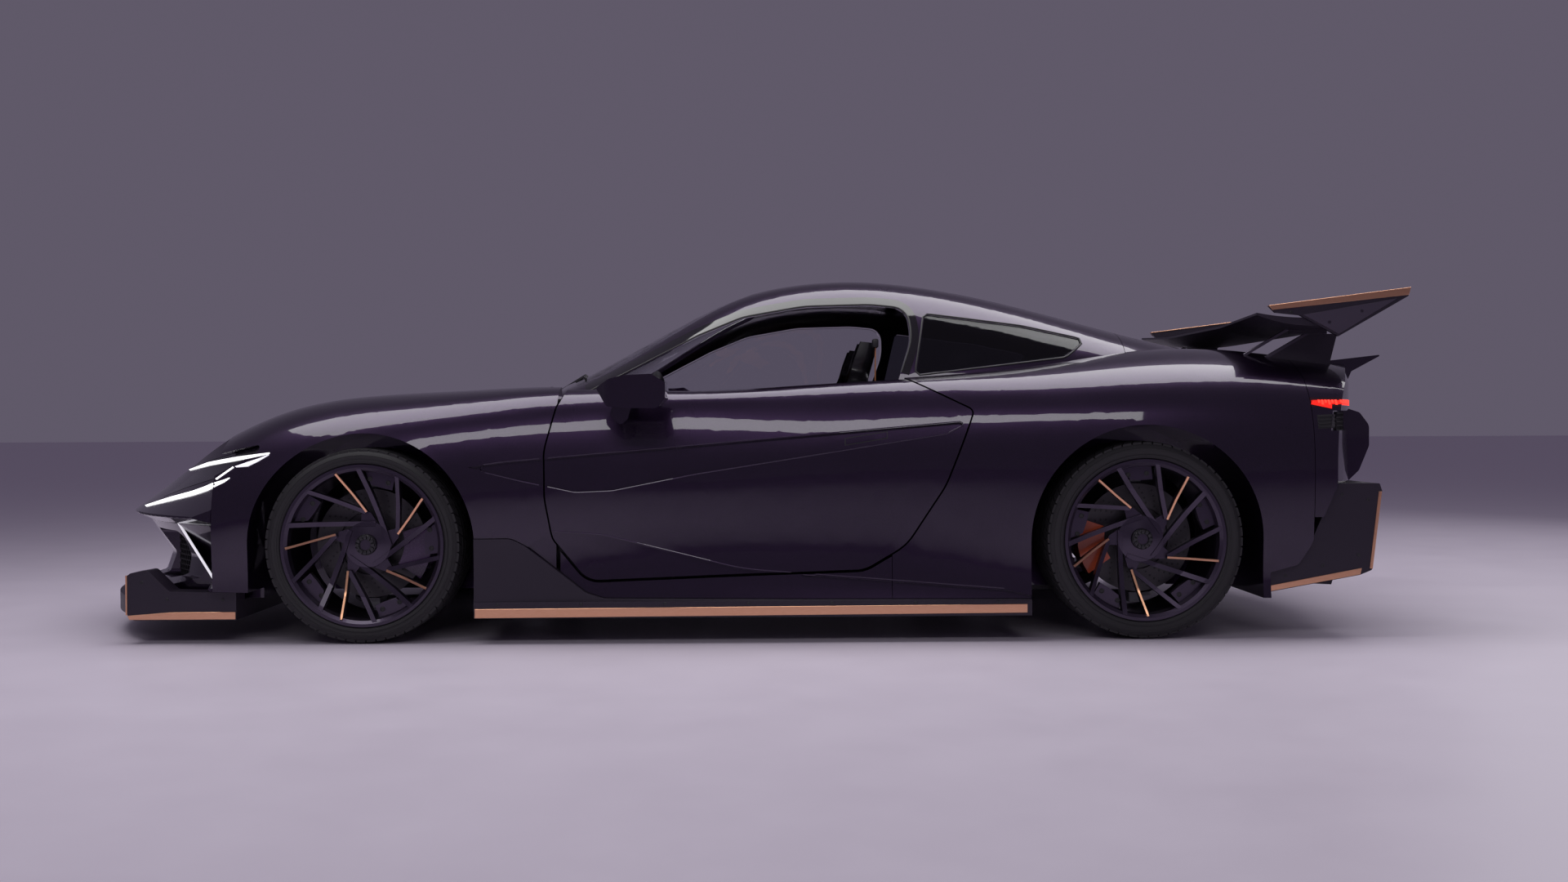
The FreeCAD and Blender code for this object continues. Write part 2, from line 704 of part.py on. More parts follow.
def front_bumper():
    shape = NOSE.common(box(-2600, BUMPER_SEAM_X - SEAM, -1100, 1100, 0, SKY))
    shape = shape.cut(bonnet_prism(PANEL_GAP))
    inner = plan_round(NOSE_CENTRE_X, NOSE_RADIUS - 160, 160, 520).common(
        box(-2600, 0, -800, 800, 0, SKY))
    shape = shape.cut(inner)
    shape = shape.cut(box(-1910, 0, -BULKHEAD_Y - SEAT_GAP, BULKHEAD_Y + SEAT_GAP, 0, 700))
    shape = shape.cut(FRONT_WELL).cut(flipped(FRONT_WELL))
    shape = shape.cut(headlamp_prism(SEAM)).cut(flipped(headlamp_prism(SEAM)))
    recess = side_prism(CORNER_RECESS, -1100, -FENCE_Y + 40)
    shape = shape.cut(recess).cut(flipped(recess))
    for side in SIDES.values():
        shape = shape.cut(side_intake(side))
    shape = shape.cut(box(-2600, -1950, -MOUTH_Y, MOUTH_Y, MOUTH_LOW_Z, MOUTH_HIGH_Z))
    return biggest(shape)


def side_intake(side):
    """The tall intake at each corner of the nose."""
    shape = front_prism([(-540, 215, 20), (-690, 215, 20), (-770, 260, 20), (-760, 396, 20),
                         (-540, 396, 20)], -2500, -2060)
    return shape if side == LEFT else flipped(shape)


def headlamp(side):
    shape = NOSE.common(headlamp_prism(0))
    shape = biggest(shape)
    return shape if side == LEFT else flipped(shape)


def front_splitter():
    plate = plan_round(-1181, 1330, SKIRT_LOW_Z - 8, size("sill_z") - SEAT_GAP)
    plate = plate.common(box(-2600, -1812, -940, 940, 0, SKY))
    fence = side_prism([(-2207, SKIRT_LOW_Z - 8, 36), (-2207, 253, 26), (-2130, 266, 20),
                        (-2052, 188, 24), (-1812, 183), (-1812, SKIRT_LOW_Z - 8)],
                       -940, -FENCE_Y)
    plate = plate.fuse([fence, flipped(fence)])
    plate = plate.cut(FRONT_WELL).cut(flipped(FRONT_WELL))
    return biggest(plate)


GRILLE_RADIUS = 1030          # inside the deepest line of the undercut


def front_grille():
    """A curved back plate with cross-bars, sunk into the mouth."""
    edge = MOUTH_Y - SEAT_GAP
    space = box(-2600, -1950, -edge, edge, MOUTH_LOW_Z + SEAT_GAP, MOUTH_HIGH_Z - SEAT_GAP)
    plate = plan_round(NOSE_CENTRE_X, GRILLE_RADIUS)
    bars = [plan_round(NOSE_CENTRE_X, GRILLE_RADIUS + 14, z, z + 10)
            for z in range(190, 390, 34)]
    plate = plate.fuse(bars).cut(plan_round(NOSE_CENTRE_X, GRILLE_RADIUS - 12))
    return plate.common(space).removeSplitter()


piece("front_fenders", both(front_fender()))
piece("cowl_panel", cowl_panel())
piece("rear_quarters", both(rear_quarter()))
piece("rear_deck", rear_deck())
piece("sill_panels", both(sill_panel()))
piece("side_skirts", both(side_skirt()))
piece("front_bumper", front_bumper())
piece("front_splitter", front_splitter())
piece("front_grille", front_grille())
piece("headlamps", Part.makeCompound([headlamp(side) for side in SIDES.values()]))
piece("bonnet", bonnet())
piece("boot_lid", boot_lid())
for label, side in SIDES.items():
    piece("door_" + label, door(side))

# ---------------------------------------------------------------- cabin panels and glass

GLASS_OUTER = cabin_skin(size("glass_inset"))
GLASS_INNER = cabin_skin(size("glass_inset") + size("glass_thickness"))
ROOF_BASE = box(-2600, 2600, -1100, 1100, 0, FRAME_Z + SEAT_GAP)


def window_prism(rows, grow):
    """A side window cut right through both sides of the cabin."""
    return side_prism(rows, -1000, 1000, grow)


def roof_frame():
    """Pillars, roof and spine in one shell, with every window cut out."""
    shape = CABIN_OUTER.cut(CABIN_INNER)
    shape = shape.cut(box(-2600, -694, -1100, 1100, 0, SKY))
    shape = shape.cut(ROOF_BASE)
    shape = shape.cut(plan_prism(WINDSCREEN, 700, SKY))
    shape = shape.cut(hatch_prism(PANEL_GAP))
    shape = shape.cut(window_prism(DOOR_WINDOW, 0))
    shape = shape.cut(window_prism(QUARTER_WINDOW, 0))
    shape = shape.cut(box(SPINE_X - SEAM, 3000, -1000, 1000, 0, SKY))
    return biggest(shape)


def glass(cutter):
    return GLASS_OUTER.cut(GLASS_INNER).common(cutter)


def windscreen():
    return biggest(glass(plan_prism(WINDSCREEN, 860, SKY, -1.0)).cut(ROOF_BASE))


def rear_window():
    return biggest(glass(plan_prism(REAR_WINDOW, 1000, SKY, -1.0)))


def side_glass(rows, side, grow):
    half = box(-2000, 2000, 0, 1000, 0, SKY)
    if side == LEFT:
        half = flipped(half)
    return biggest(glass(window_prism(rows, grow)).common(half))


def door_glass():
    """The right window, wound up to a hand's breadth of slack below its seal."""
    shape = side_glass(DOOR_WINDOW, RIGHT, -4.0)
    shape = shape.cut(box(-2000, 2000, 0, 1000, 0, LEDGE_Z + SEAT_GAP))
    return biggest(shape.cut(box(-2000, TUB_FRONT_X + 140, 0, 1000, 0, SKY)))


piece("roof_frame", roof_frame())
piece("windscreen", windscreen())
piece("rear_window", rear_window())
piece("quarter_windows", Part.makeCompound(
    [side_glass(QUARTER_WINDOW, side, -1.0) for side in SIDES.values()]))
piece("window_right", door_glass())

# ---------------------------------------------------------------- rear end and wing

LAMP_LOW_Z = 838
LAMP_HIGH_Z = 872
LAMP_DEPTH = 110
EXIT_Y = 700                  # inner face of the dark corner boxes
TAIL_WALL_X = 2150            # rear face of the frame, which carries the tailpipes
EXHAUST_Y = 210
EXHAUST_Z = 500
EXHAUST_END_X = 2385
LIP_HALF = 690


def tail_solid():
    """The rounded tail, with a full lip across the middle below the lamp."""
    sides = turned_about(TAIL_CENTRE_X, [(0, 140), (TAIL_RADIUS, 140), (TAIL_RADIUS, 929),
                                         (TAIL_RADIUS - 34, 1090), (0, 1090)])
    lip = turned_about(TAIL_CENTRE_X, [
        (0, 560), (TAIL_RADIUS, 560, 10), (1910, 598, 20), (1946, 691, 40), (1946, 770, 40),
        (1912, 818, 20), (TAIL_RADIUS, LAMP_LOW_Z - 6), (0, LAMP_LOW_Z - 6)])
    lip = lip.common(box(1500, 2700, -LIP_HALF, LIP_HALF, 0, SKY))
    return BODY.common(sides.fuse(lip))


def tail_vent():
    """The sunk field at each corner for a mesh, below the lamp."""
    space = box(2085, 2600, -1100, -LIP_HALF - 25, 752, 824)
    return space.cut(plan_round(TAIL_CENTRE_X, TAIL_RADIUS - 24))


def rear_bumper():
    shape = tail_solid().common(box(REAR_SEAM_X + SEAM, 2600, -1100, 1100, 400, SKY))
    shape = shape.cut(box(0, 2150 + SEAT_GAP, -BULKHEAD_Y - SEAT_GAP, BULKHEAD_Y + SEAT_GAP,
                          0, 940))
    corner = side_prism(TAIL_CORNER_SPACE, -1100, -EXIT_Y, SEAM)
    shape = shape.cut(corner).cut(flipped(corner))
    shape = shape.cut(box(0, 2600, -1100, 1100, 0, 440))
    shape = shape.cut(box(2200, 2600, -642, 642, 940, SKY))
    for side in SIDES.values():
        shape = shape.cut(rod((2000, side * EXHAUST_Y, EXHAUST_Z),
                              (2700, side * EXHAUST_Y, EXHAUST_Z), size("exhaust_radius") + 6))
        foot = support_foot(SEAT_GAP)
        shape = shape.cut(foot if side == LEFT else flipped(foot))
    shape = shape.cut(REAR_WELL).cut(flipped(REAR_WELL))
    shape = shape.cut(tail_lamp_slot()).cut(tail_vent()).cut(flipped(tail_vent()))
    return biggest(shape)


def tail_lamp_slot():
    slot = box(REAR_SEAM_X, 2600, -1100, 1100, LAMP_LOW_Z, LAMP_HIGH_Z)
    return slot.cut(plan_round(TAIL_CENTRE_X, TAIL_RADIUS - LAMP_DEPTH))


def tail_lamp():
    zone = box(2082, 2600, -1100, 1100, LAMP_LOW_Z + SEAT_GAP, LAMP_HIGH_Z - SEAT_GAP)
    shape = tail_solid().common(zone)
    shape = shape.cut(plan_round(TAIL_CENTRE_X, TAIL_RADIUS - LAMP_DEPTH + SEAM))
    return biggest(shape)


def rear_diffuser():
    """Dark lower tail with a side box at each corner and vertical fins between them."""
    side = side_prism([(1925, 168)] + TAIL_CORNER_EDGE + [
        (2327, 560, 6), (2336, 532, 6), (2300, 246, 12), (2256, 228, 12)],
        -968, -EXIT_Y - SEAT_GAP)
    wall = box(2200, 2230, -EXIT_Y - 10, EXIT_Y + 10, 240, 440 - SEAT_GAP)
    tray = side_prism([(1935, 150), (2230, 225), (2300, 232), (2300, 247), (2220, 247),
                       (1935, 172)], -EXIT_Y - 10, EXIT_Y + 10)
    fins = []
    for y in (-560, -340, -120, 120, 340, 560):
        fins.append(side_prism([(2000, 165), (2300, 150), (2330, 240), (2290, 250),
                                (2000, 195)], y - 6, y + 6))
    shape = side.fuse([flipped(side), tray, wall] + fins)
    return shape.cut(REAR_WELL).cut(flipped(REAR_WELL)).removeSplitter()


WING_Z = size("wing_z")
WING_HALF = size("wing_span") / 2


def rear_wing():
    """The main plane, dished towards its middle, with a fence at each tip."""
    sections = []
    for y, lower in ((-WING_HALF, 0), (-400, 22), (400, 22), (WING_HALF, 0)):
        z = WING_Z - lower
        top = Part.Arc(Vector(1915, y, z - 4), Vector(2130, y, z - 22), Vector(2380, y, z + 18))
        low = Part.Arc(Vector(2380, y, z + 12), Vector(2120, y, z - 52), Vector(1915, y, z - 12))
        sections.append(Part.Wire([top.toShape(), chord_between((2380, y, z + 18),
                                                               (2380, y, z + 12)),
                                   low.toShape(), chord_between((1915, y, z - 12),
                                                               (1915, y, z - 4))]))
    plane = Part.makeLoft(sections, True, True)
    fence = side_prism([(1957, 1210), (2481, 1275), (2472, 1245), (2214, 1098), (2072, 1176),
                        (1981, 1186)], -WING_HALF - 10, -WING_HALF + 8)
    bosses = [box(2090, 2230, side * 700 - 10, side * 700 + 10, BOSS_Z + SEAT_GAP, WING_Z - 34)
              for side in SIDES.values()]
    return plane.fuse([fence, flipped(fence)] + bosses)


def chord_between(start, end):
    return Part.LineSegment(Vector(*start), Vector(*end)).toShape()


BOSS_Z = 1116


def wing_support():
    return side_prism([(1994, 985), (1994, 1020), (2160, BOSS_Z), (2270, BOSS_Z), (2243, 1010),
                       (2243, 985)], -706, -694)


def tail_spoiler():
    """The turned-up lip over the tail."""
    low = 940 + SEAT_GAP
    blade = side_prism([(2202, 1012), (2290, 1020), (2470, 1040, 3), (2350, 976, 8),
                        (2334, low), (2202, low)], -640, 640)
    return blade


piece("rear_bumper", rear_bumper())
piece("tail_lamp", tail_lamp())
piece("rear_diffuser", rear_diffuser())
piece("rear_wing", rear_wing())
piece("wing_supports", both(wing_support()))
piece("tail_spoiler", tail_spoiler())

# ---------------------------------------------------------------- wheels and running gear

UPRIGHT = Rotation(Vector(1, 0, 0), 90)            # wheel axis out to the left
UPRIGHT_RIGHT = Rotation(Vector(-1, 0, 0), Vector(0, 0, 1), Vector(0, 1, 0))


def new_body(name):
    return finished(doc.addObject("PartDesign::Body", name))


def plane_of(body, role):
    return next(item for item in body.Origin.OriginFeatures if item.Role == role)


def closed_sketch(body, name, role, points):
    """A sketch of straight lines through the points, joined corner to corner.

    A radius that comes from the sheet is held by a dimension bound to its cell.
    """
    sketch = body.newObject("Sketcher::SketchObject", name)
    sketch.AttachmentSupport = (plane_of(body, role), [""])
    sketch.MapMode = "FlatFace"
    count = len(points)
    for place in range(count):
        u, v = points[place]
        nu, nv = points[(place + 1) % count]
        sketch.addGeometry(Part.LineSegment(Vector(u, v, 0), Vector(nu, nv, 0)), False)
    for place in range(count):
        sketch.addConstraint(Sketcher.Constraint("Coincident", place, 2, (place + 1) % count, 1))
    for place, (u, v) in enumerate(points):
        if isinstance(u, Cell):
            number = sketch.addConstraint(
                Sketcher.Constraint("DistanceX", -1, 1, place, 1, float(u)))
            sketch.setExpression("Constraints[%d]" % number, u.formula)
    return sketch


def turned(body, name, points):
    """A full turn of an outline in r and z about the body's own Z axis."""
    sketch = closed_sketch(body, name + "_outline", "XZ_Plane", points)
    turn = body.newObject("PartDesign::Revolution", name)
    turn.Profile = sketch
    turn.ReferenceAxis = (sketch, ["V_Axis"])
    turn.Angle = 360
    return turn


def grooved(body, name, points):
    sketch = closed_sketch(body, name + "_outline", "XZ_Plane", points)
    groove = body.newObject("PartDesign::Groove", name)
    groove.Profile = sketch
    groove.ReferenceAxis = (sketch, ["V_Axis"])
    groove.Angle = 360
    return groove


def padded(body, name, points, length, offset):
    sketch = closed_sketch(body, name + "_outline", "XY_Plane", points)
    sketch.AttachmentOffset = Placement(Vector(0, 0, offset), Rotation())
    pad = body.newObject("PartDesign::Pad", name)
    pad.Profile = sketch
    pad.Length = length
    return pad


def five_of(body, features):
    pattern = body.newObject("PartDesign::PolarPattern", body.Name + "_ring")
    pattern.Originals = features
    pattern.Axis = (plane_of(body, "Z_Axis"), [""])
    pattern.Angle = 360
    pattern.setExpression("Occurrences", "Sizes.spoke_count")
    body.Tip = pattern
    return pattern


FACE_DEPTH = 116.5            # from the tyre's outer face in to the wheel's mounting face
HUB_DEPTH = 36
NUT_RADIUS = 30


def polar(radius, degrees, hand):
    angle = math.radians(degrees)
    return (hand * radius * math.cos(angle), radius * math.sin(angle))


WHEELS = [
    # name, axle x, tyre radius, tyre width, side, pattern turn
    ("front_left", FRONT_X, "front_tyre", LEFT, 0),
    ("front_right", FRONT_X, "front_tyre", RIGHT, 0),
    ("rear_left", REAR_X, "rear_tyre", LEFT, 18),
    ("rear_right", REAR_X, "rear_tyre", RIGHT, 18),
]


def wheel_place(axle_x, radius, width, side):
    y = side * (size("tyre_face_y") - 0.5 * width)
    turn = UPRIGHT if side == LEFT else UPRIGHT_RIGHT
    return Placement(Vector(axle_x, y, radius), turn)


def tyre(name, kind):
    """The carcass from bead to tread, with its sidewall bulging past the flange."""
    body = new_body("tyre_" + name)
    bead = cell("bead_radius", SEAT_GAP)
    half = 0.5 * size(kind + "_width")
    seat = half - 16
    rise = "flange_radius"
    tread = kind + "_radius"
    right = [(bead, seat), (cell(rise, 2), seat), (cell(rise, 8), half - 4),
             (cell(rise, 26), half), (cell(tread, -14), half - 7),
             (cell(tread, -3), half - 22), (cell(tread), half - 45)]
    left = [(r, -z) for r, z in reversed(right)]
    turned(body, "carcass_" + name, right + left)
    return body


def bar(outer, inner, width, hand):
    """A straight bar between two polar points, with its outer end on the outer point's circle."""
    start = Vector(*polar(outer[0], outer[1], 1), 0)
    end = Vector(*polar(inner[0], inner[1], 1), 0)
    along = (start - end).normalize()
    across = Vector(-along.y, along.x, 0)
    corners = []
    for side in (-0.5, 0.5):
        foot = end + across * side * width
        reach = math.sqrt(outer[0] ** 2 - foot.dot(across) ** 2) - foot.dot(along)
        pair = [foot, foot + along * reach]
        corners += pair if side < 0 else pair[::-1]
    return [(hand * point.x, point.y) for point in corners]


def rim(name, width, hand, turn):
    """Barrel, hub and five groups of straight spokes and blades, dished towards the hub."""
    body = new_body("rim_" + name)
    half = 0.5 * width
    bead = cell("bead_radius")
    flange = cell("flange_radius")
    inner = bead - size("barrel_wall")
    lip = half - 15.7
    edge = half - 6
    hub = size("hub_radius")
    face = hub_face(width) + HUB_DEPTH
    turned(body, "barrel_" + name, [
        (inner, -edge), (flange, -edge), (flange, -lip), (bead, -lip), (bead, lip),
        (flange, lip), (flange, edge), (cell("flange_radius", -11), edge),
        (inner + 5, edge - 10), (inner, edge - 34)])
    turned(body, "hub_" + name, [
        (0, face - HUB_DEPTH), (cell("hub_radius", 14), face - HUB_DEPTH),
        (cell("hub_radius", 26), face - 30), (cell("hub_radius", 26), face - 6),
        (cell("hub_radius", -20), face + 4), (NUT_RADIUS, face + 4), (NUT_RADIUS, face + 22),
        (NUT_RADIUS - 8, face + 28), (0, face + 28)])
    reach = bead - 1
    low = face - 34
    offset = size("spoke_offset")
    past = math.degrees(math.atan2(30, offset))
    foot = math.degrees(math.acos(offset / reach)) - 20.5 + past
    wide = size("spoke_width")
    web = [polar(132, 27, hand), polar(114, 12, hand), polar(82, -10, hand),
           polar(66, 12, hand), polar(82, 36, hand)]
    plate = [polar(reach, 66, hand), polar(reach, 78, hand), polar(reach, 90, hand),
             polar(222, 84, hand), polar(216, 73, hand), polar(222, 63, hand)]
    parts = [
        # label, outline, height of its top
        ("long", bar((reach, 20.5), (math.hypot(offset, 30), -foot), wide, hand), edge - 3),
        ("short", bar((reach, 63), (118, 20), wide - 2, hand), edge - 3),
        ("blade", bar((reach, 38), (117, 18), size("blade_width"), hand), edge - 3),
        ("plate", plate, edge - 40),
        ("web", web, face - 12),
    ]
    features = []
    for label, outline, top in parts:
        turned_outline = [rotated(point, turn * hand) for point in outline]
        features.append(padded(body, label + "_" + name, turned_outline, top - low, low))
    five_of(body, features)
    grooved(body, "dish_" + name, [
        (hub - 20, edge + 40), (hub - 20, face + 4), (hub + 26, face - 2), (110, face + 2),
        (190, face + 26), (inner - 4, edge - 9), (reach + 0.5, edge - 2),
        (reach + 0.5, edge + 40)])
    back = grooved(body, "back_" + name, [
        (hub + 26, low - 10), (hub + 26, low + 3), (110, face - 26), (190, face - 8),
        (inner, edge - 46), (inner, low - 10)])
    body.Tip = back
    return body


def rotated(point, degrees):
    angle = math.radians(degrees)
    u, v = point
    return (u * math.cos(angle) - v * math.sin(angle), u * math.sin(angle) + v * math.cos(angle))


def hub_face(width):
    """Height of the wheel's mounting face above its centre plane."""
    return 0.5 * width - FACE_DEPTH


def brake_disc(name, width):
    """Vented disc on its bell, with the stub that runs in the knuckle."""
    body = new_body("brake_disc_" + name)
    mount = hub_face(width)
    outer = cell("disc_radius")
    plate = size("disc_thickness")
    stub = cell("stub_radius")
    turned(body, "bell_" + name, [
        (0, mount), (84, mount), (84, mount - 40), (118, mount - 40), (118, mount - 30),
        (outer, mount - 30), (outer, mount - 30 - plate), (118, mount - 30 - plate),
        (118, mount - 48), (74, mount - 48), (74, mount - 12), (stub, mount - 12),
        (stub, mount - 150), (0, mount - 150)])
    return body


def knuckle_shape(name, width, kind):
    """Bearing carrier with its upper and lower arms, in the wheel's own frame."""
    body = new_body(name)
    mount = hub_face(width)
    bore = cell("stub_radius", size("running_gap"))
    turned(body, name + "_carrier", [
        (bore, mount - 96), (68, mount - 96), (68, mount - 150), (50, mount - 176),
        (bore, mount - 176)])
    padded(body, name + "_upright", [(-34, 40), (34, 40), (22, HORN_IN), (22, HORN_OUT),
                                     (-22, HORN_OUT), (-22, HORN_IN)], 36, mount - 160)
    padded(body, name + "_foot", [(-34, -40), (-22, -HORN_IN), (-22, -HORN_OUT),
                                  (22, -HORN_OUT), (22, -HORN_IN), (34, -40)], 36, mount - 160)
    pin = size("pin_y") - (size("tyre_face_y") - 0.5 * width)
    reach = mount - 160
    span = pin + 14 - reach
    padded(body, name + "_top_horn", [(-22, HORN_IN), (22, HORN_IN), (22, HORN_OUT),
                                      (-22, HORN_OUT)], span, reach)
    lower = padded(body, name + "_low_horn", [(-22, -HORN_OUT), (22, -HORN_OUT),
                                              (22, -HORN_IN), (-22, -HORN_IN)], span, reach)
    body.Tip = lower
    return body


def caliper_shape(name, width, hand, middle):
    """A six-piston clamp over the disc's edge, bolted to the knuckle by two ears."""
    body = new_body(name)
    mount = hub_face(width)
    outer = size("disc_radius")
    plate = size("disc_thickness")
    top = mount - 30 + 34
    low = mount - 30 - plate - 34
    outline = []
    for step in range(-3, 4):
        outline.append(polar(outer + 26, middle + step * 9, hand))
    for step in range(3, -4, -1):
        outline.append(polar(outer - 72, middle + step * 9, hand))
    padded(body, name + "_clamp", outline, top - low, low)
    slot = grooved(body, name + "_slot", [
        (0, mount - 30 + 6), (outer + 7, mount - 30 + 6), (outer + 7, mount - 36 - plate),
        (0, mount - 36 - plate)])
    ear = [polar(outer - 90, middle - 16, hand), polar(outer - 60, middle - 16, hand),
           polar(outer - 60, middle + 16, hand), polar(outer - 90, middle + 16, hand)]
    ear_pad = padded(body, name + "_ear", ear, 14, low + 2)
    bridge = padded(body, name + "_bridge", [
        polar(58, middle - 25, hand), polar(outer - 82, middle - 13, hand),
        polar(outer - 82, middle + 13, hand), polar(58, middle + 25, hand)], 14, low + 2)
    trim = grooved(body, name + "_seat", [
        (0, low - 20), (68.3, low - 20), (68.3, top + 20), (0, top + 20)])
    body.Tip = trim
    return body


HORN_IN = 206
HORN_OUT = 228
FRONT_CALIPER_ANGLE = -8      # behind the axle
REAR_CALIPER_ANGLE = 188      # ahead of the axle


def place_at_wheel(body, axle_x, kind, side):
    body.Placement = wheel_place(axle_x, size(kind + "_radius"), size(kind + "_width"), side)


for name, axle_x, kind, side, turn in WHEELS:
    width = size(kind + "_width")
    hand = -side
    pieces = [
        tyre(name, kind),
        rim(name, width, hand, turn),
        brake_disc(name, width),
    ]
    end = name.split("_")[0]
    angle = FRONT_CALIPER_ANGLE if end == "front" else REAR_CALIPER_ANGLE
    pieces.append(knuckle_shape("knuckle_" + name, width, kind))
    pieces.append(caliper_shape("caliper_" + name, width, hand, angle))
    for body in pieces:
        place_at_wheel(body, axle_x, kind, side)

# ---------------------------------------------------------------- suspension and drive

ARM = [  # half outline of a wishbone in plan: along the car, then out from its middle
    (150, 500), (110, 590), (30, 655), (22, 805),
]
ARM_THICKNESS = 14


def wishbone(axle_x, z):
    gap = SEAT_GAP
    outer = [(axle_x + u, -max(v, BULKHEAD_Y + gap)) for u, v in ARM]
    back = [(axle_x - u, -max(v, BULKHEAD_Y + gap)) for u, v in reversed(ARM)]
    arm = plan_prism(outer + back, z, z + ARM_THICKNESS)
    window = plan_prism([(axle_x + 88, -530), (axle_x + 70, -590), (axle_x, -640),
                         (axle_x - 70, -590), (axle_x - 88, -530)], z - 1,
                        z + ARM_THICKNESS + 1)
    return arm.cut(window)


def suspension_arms():
    arms = []
    for axle_x, kind in ((FRONT_X, "front_tyre"), (REAR_X, "rear_tyre")):
        hub_z = size(kind + "_radius")
        upper = wishbone(axle_x, hub_z + HORN_OUT + SEAT_GAP)
        lower = wishbone(axle_x, hub_z - HORN_OUT - SEAT_GAP - ARM_THICKNESS)
        arms += [upper, lower, flipped(upper), flipped(lower)]
    return Part.makeCompound(arms)


def rear_axle():
    """Final drive with a shaft to each rear hub."""
    z = size("rear_tyre_radius")
    case = box(REAR_X - 150, REAR_X + 130, -130, 130, z - 120, z + 130)
    case = case.makeFillet(30, case.Edges)
    end = shaft_end()
    shafts = rod((REAR_X, -end, z), (REAR_X, end, z), 22)
    joints = rod((REAR_X, -220, z), (REAR_X, 220, z), 48)
    return case.fuse([shafts, joints])


def shaft_end():
    width = size("rear_tyre_width")
    centre = size("tyre_face_y") - 0.5 * width
    return centre + hub_face(width) - 150 - SEAT_GAP


def engine_block():
    """The engine as one block, on the bay's floor."""
    z = 170 + SEAT_GAP
    block = side_prism([(-1560, z), (-880, z), (-880, 560), (-960, 700), (-1480, 640),
                        (-1560, 520)], -240, 240)
    return block


def exhaust_pipes():
    """Two short tailpipes, each open at its rear end."""
    along = Rotation(Vector(0, 1, 0), 90)
    pipes = []
    for label, side in SIDES.items():
        y = side * EXHAUST_Y
        start = TAIL_WALL_X + SEAT_GAP
        pipes.append(cut_away(
            "tailpipe_" + label,
            bound_rod("tailpipe_wall_" + label, (start, y, EXHAUST_Z), along,
                      "Sizes.exhaust_radius", EXHAUST_END_X - start),
            bound_rod("tailpipe_bore_" + label, (TAIL_WALL_X + 40, y, EXHAUST_Z), along,
                      "Sizes.exhaust_radius - 5", 200)))
    pair = doc.addObject("Part::Compound", "exhaust_pipes")
    pair.Links = pipes
    return finished(pair)


piece("suspension_arms", suspension_arms())
piece("rear_axle", rear_axle())
piece("engine_block", engine_block())
exhaust_pipes()

# ---------------------------------------------------------------- cabin fittings

ROOM_Y = TUB_Y - 90


def dashboard():
    profile = side_prism([(TUB_FRONT_X + WALL + SEAT_GAP, 560), (-420, 600, 40),
                          (-360, 720, 50), (-400, 830, 40), (-560, 868, 60),
                          (TUB_FRONT_X + WALL + SEAT_GAP, 868)], -ROOM_Y + 1, ROOM_Y - 1)
    centre, axis = steering_frame()
    end = centre - axis * (12 + SEAT_GAP)
    column = Part.makeCylinder(28, 150, end - axis * 150, axis)
    return profile.fuse(column)


def steering_frame():
    """Centre of the steering wheel and the way its axis points, up towards the driver."""
    return Vector(-270, -size("seat_y"), 810), Vector(137, 0, 46).normalize()


def steering_wheel():
    """Rim, boss and three spokes, turned together into the driver's line."""
    centre, axis = steering_frame()
    tilt = Placement(centre, Rotation(Vector(0, 0, 1), axis))
    rim_ring = doc.addObject("Part::Torus", "steering_rim")
    rim_ring.setExpression("Radius1", "Sizes.steering_radius")
    rim_ring.Radius2 = 15
    rim_ring.Placement = tilt
    boss = doc.addObject("Part::Cylinder", "steering_boss")
    boss.Radius = 55
    boss.Height = 24
    boss.Placement = tilt.multiply(Placement(Vector(0, 0, -12), Rotation()))
    pieces = [rim_ring, boss]
    for angle in (90, 270, 0):
        spoke = doc.addObject("Part::Box", "steering_spoke_%d" % angle)
        spoke.setExpression("Length", "Sizes.steering_radius - 40")
        spoke.Width = 32
        spoke.Height = 14
        spoke.Placement = tilt.multiply(
            Placement(Vector(), Rotation(Vector(0, 0, 1), angle))).multiply(
            Placement(Vector(40, -16, -7), Rotation()))
        pieces.append(spoke)
    joined = doc.addObject("Part::MultiFuse", "steering_wheel")
    joined.Shapes = pieces
    return finished(joined)


def seat(side):
    """A bucket seat: shell and cushion in one, with raised bolsters."""
    half = 0.5 * size("seat_width")
    floor = FLOOR_Z + WALL
    y = side * size("seat_y")
    back = side_prism([(60, floor + SEAT_GAP), (-240, floor + SEAT_GAP), (-330, 330, 30),
                       (-330, 400, 40), (180, 330, 60), (330, 640, 200), (430, 980, 60),
                       (470, 1120, 40), (560, 1110, 40), (500, 900, 60), (340, 330, 100)],
                      y - half, y + half)
    hollow = side_prism([(-400, 430), (150, 380, 60), (290, 640, 200), (400, 990),
                         (300, 1200), (-400, 1200)], y - half + 90, y + half - 90)
    neck = [side_prism([(340, 960), (620, 960), (620, 1200), (340, 1200)], y + s * (half - 130),
                       y + s * (half + 5)) for s in (-1, 1)]
    return back.cut(hollow).cut(Part.makeCompound(neck))


def mirror(side):
    """Door mirror: a tapered pod on a raked stalk."""
    head = side_prism([(-492, 914, 8), (-442, 945, 60), (-388, 957, 60), (-294, 961, 16),
                       (-245, 932, 8), (-245, 876, 8), (-274, 842, 14), (-366, 842, 60),
                       (-452, 848, 20), (-474, 884, 20)], -1165, -985)
    plan = plan_prism([(-495, -1100, 30), (-440, -1154, 80), (-300, -1165, 60), (-240, -1165, 6),
                       (-240, -985, 6), (-430, -985, 60), (-495, -1040, 30)], 800, 1000)
    head = head.common(plan)
    stalk = side_prism([(-432, 880), (-362, 880), (-384, 803, 10), (-411, 783, 10),
                        (-447, 817, 10)], -1070, -860)
    shape = head.fuse(stalk)
    solid = shape.cut(lower_body(inset=-SEAT_GAP, drop=-SEAT_GAP))
    shape = biggest(solid)
    return shape if side == LEFT else flipped(shape)


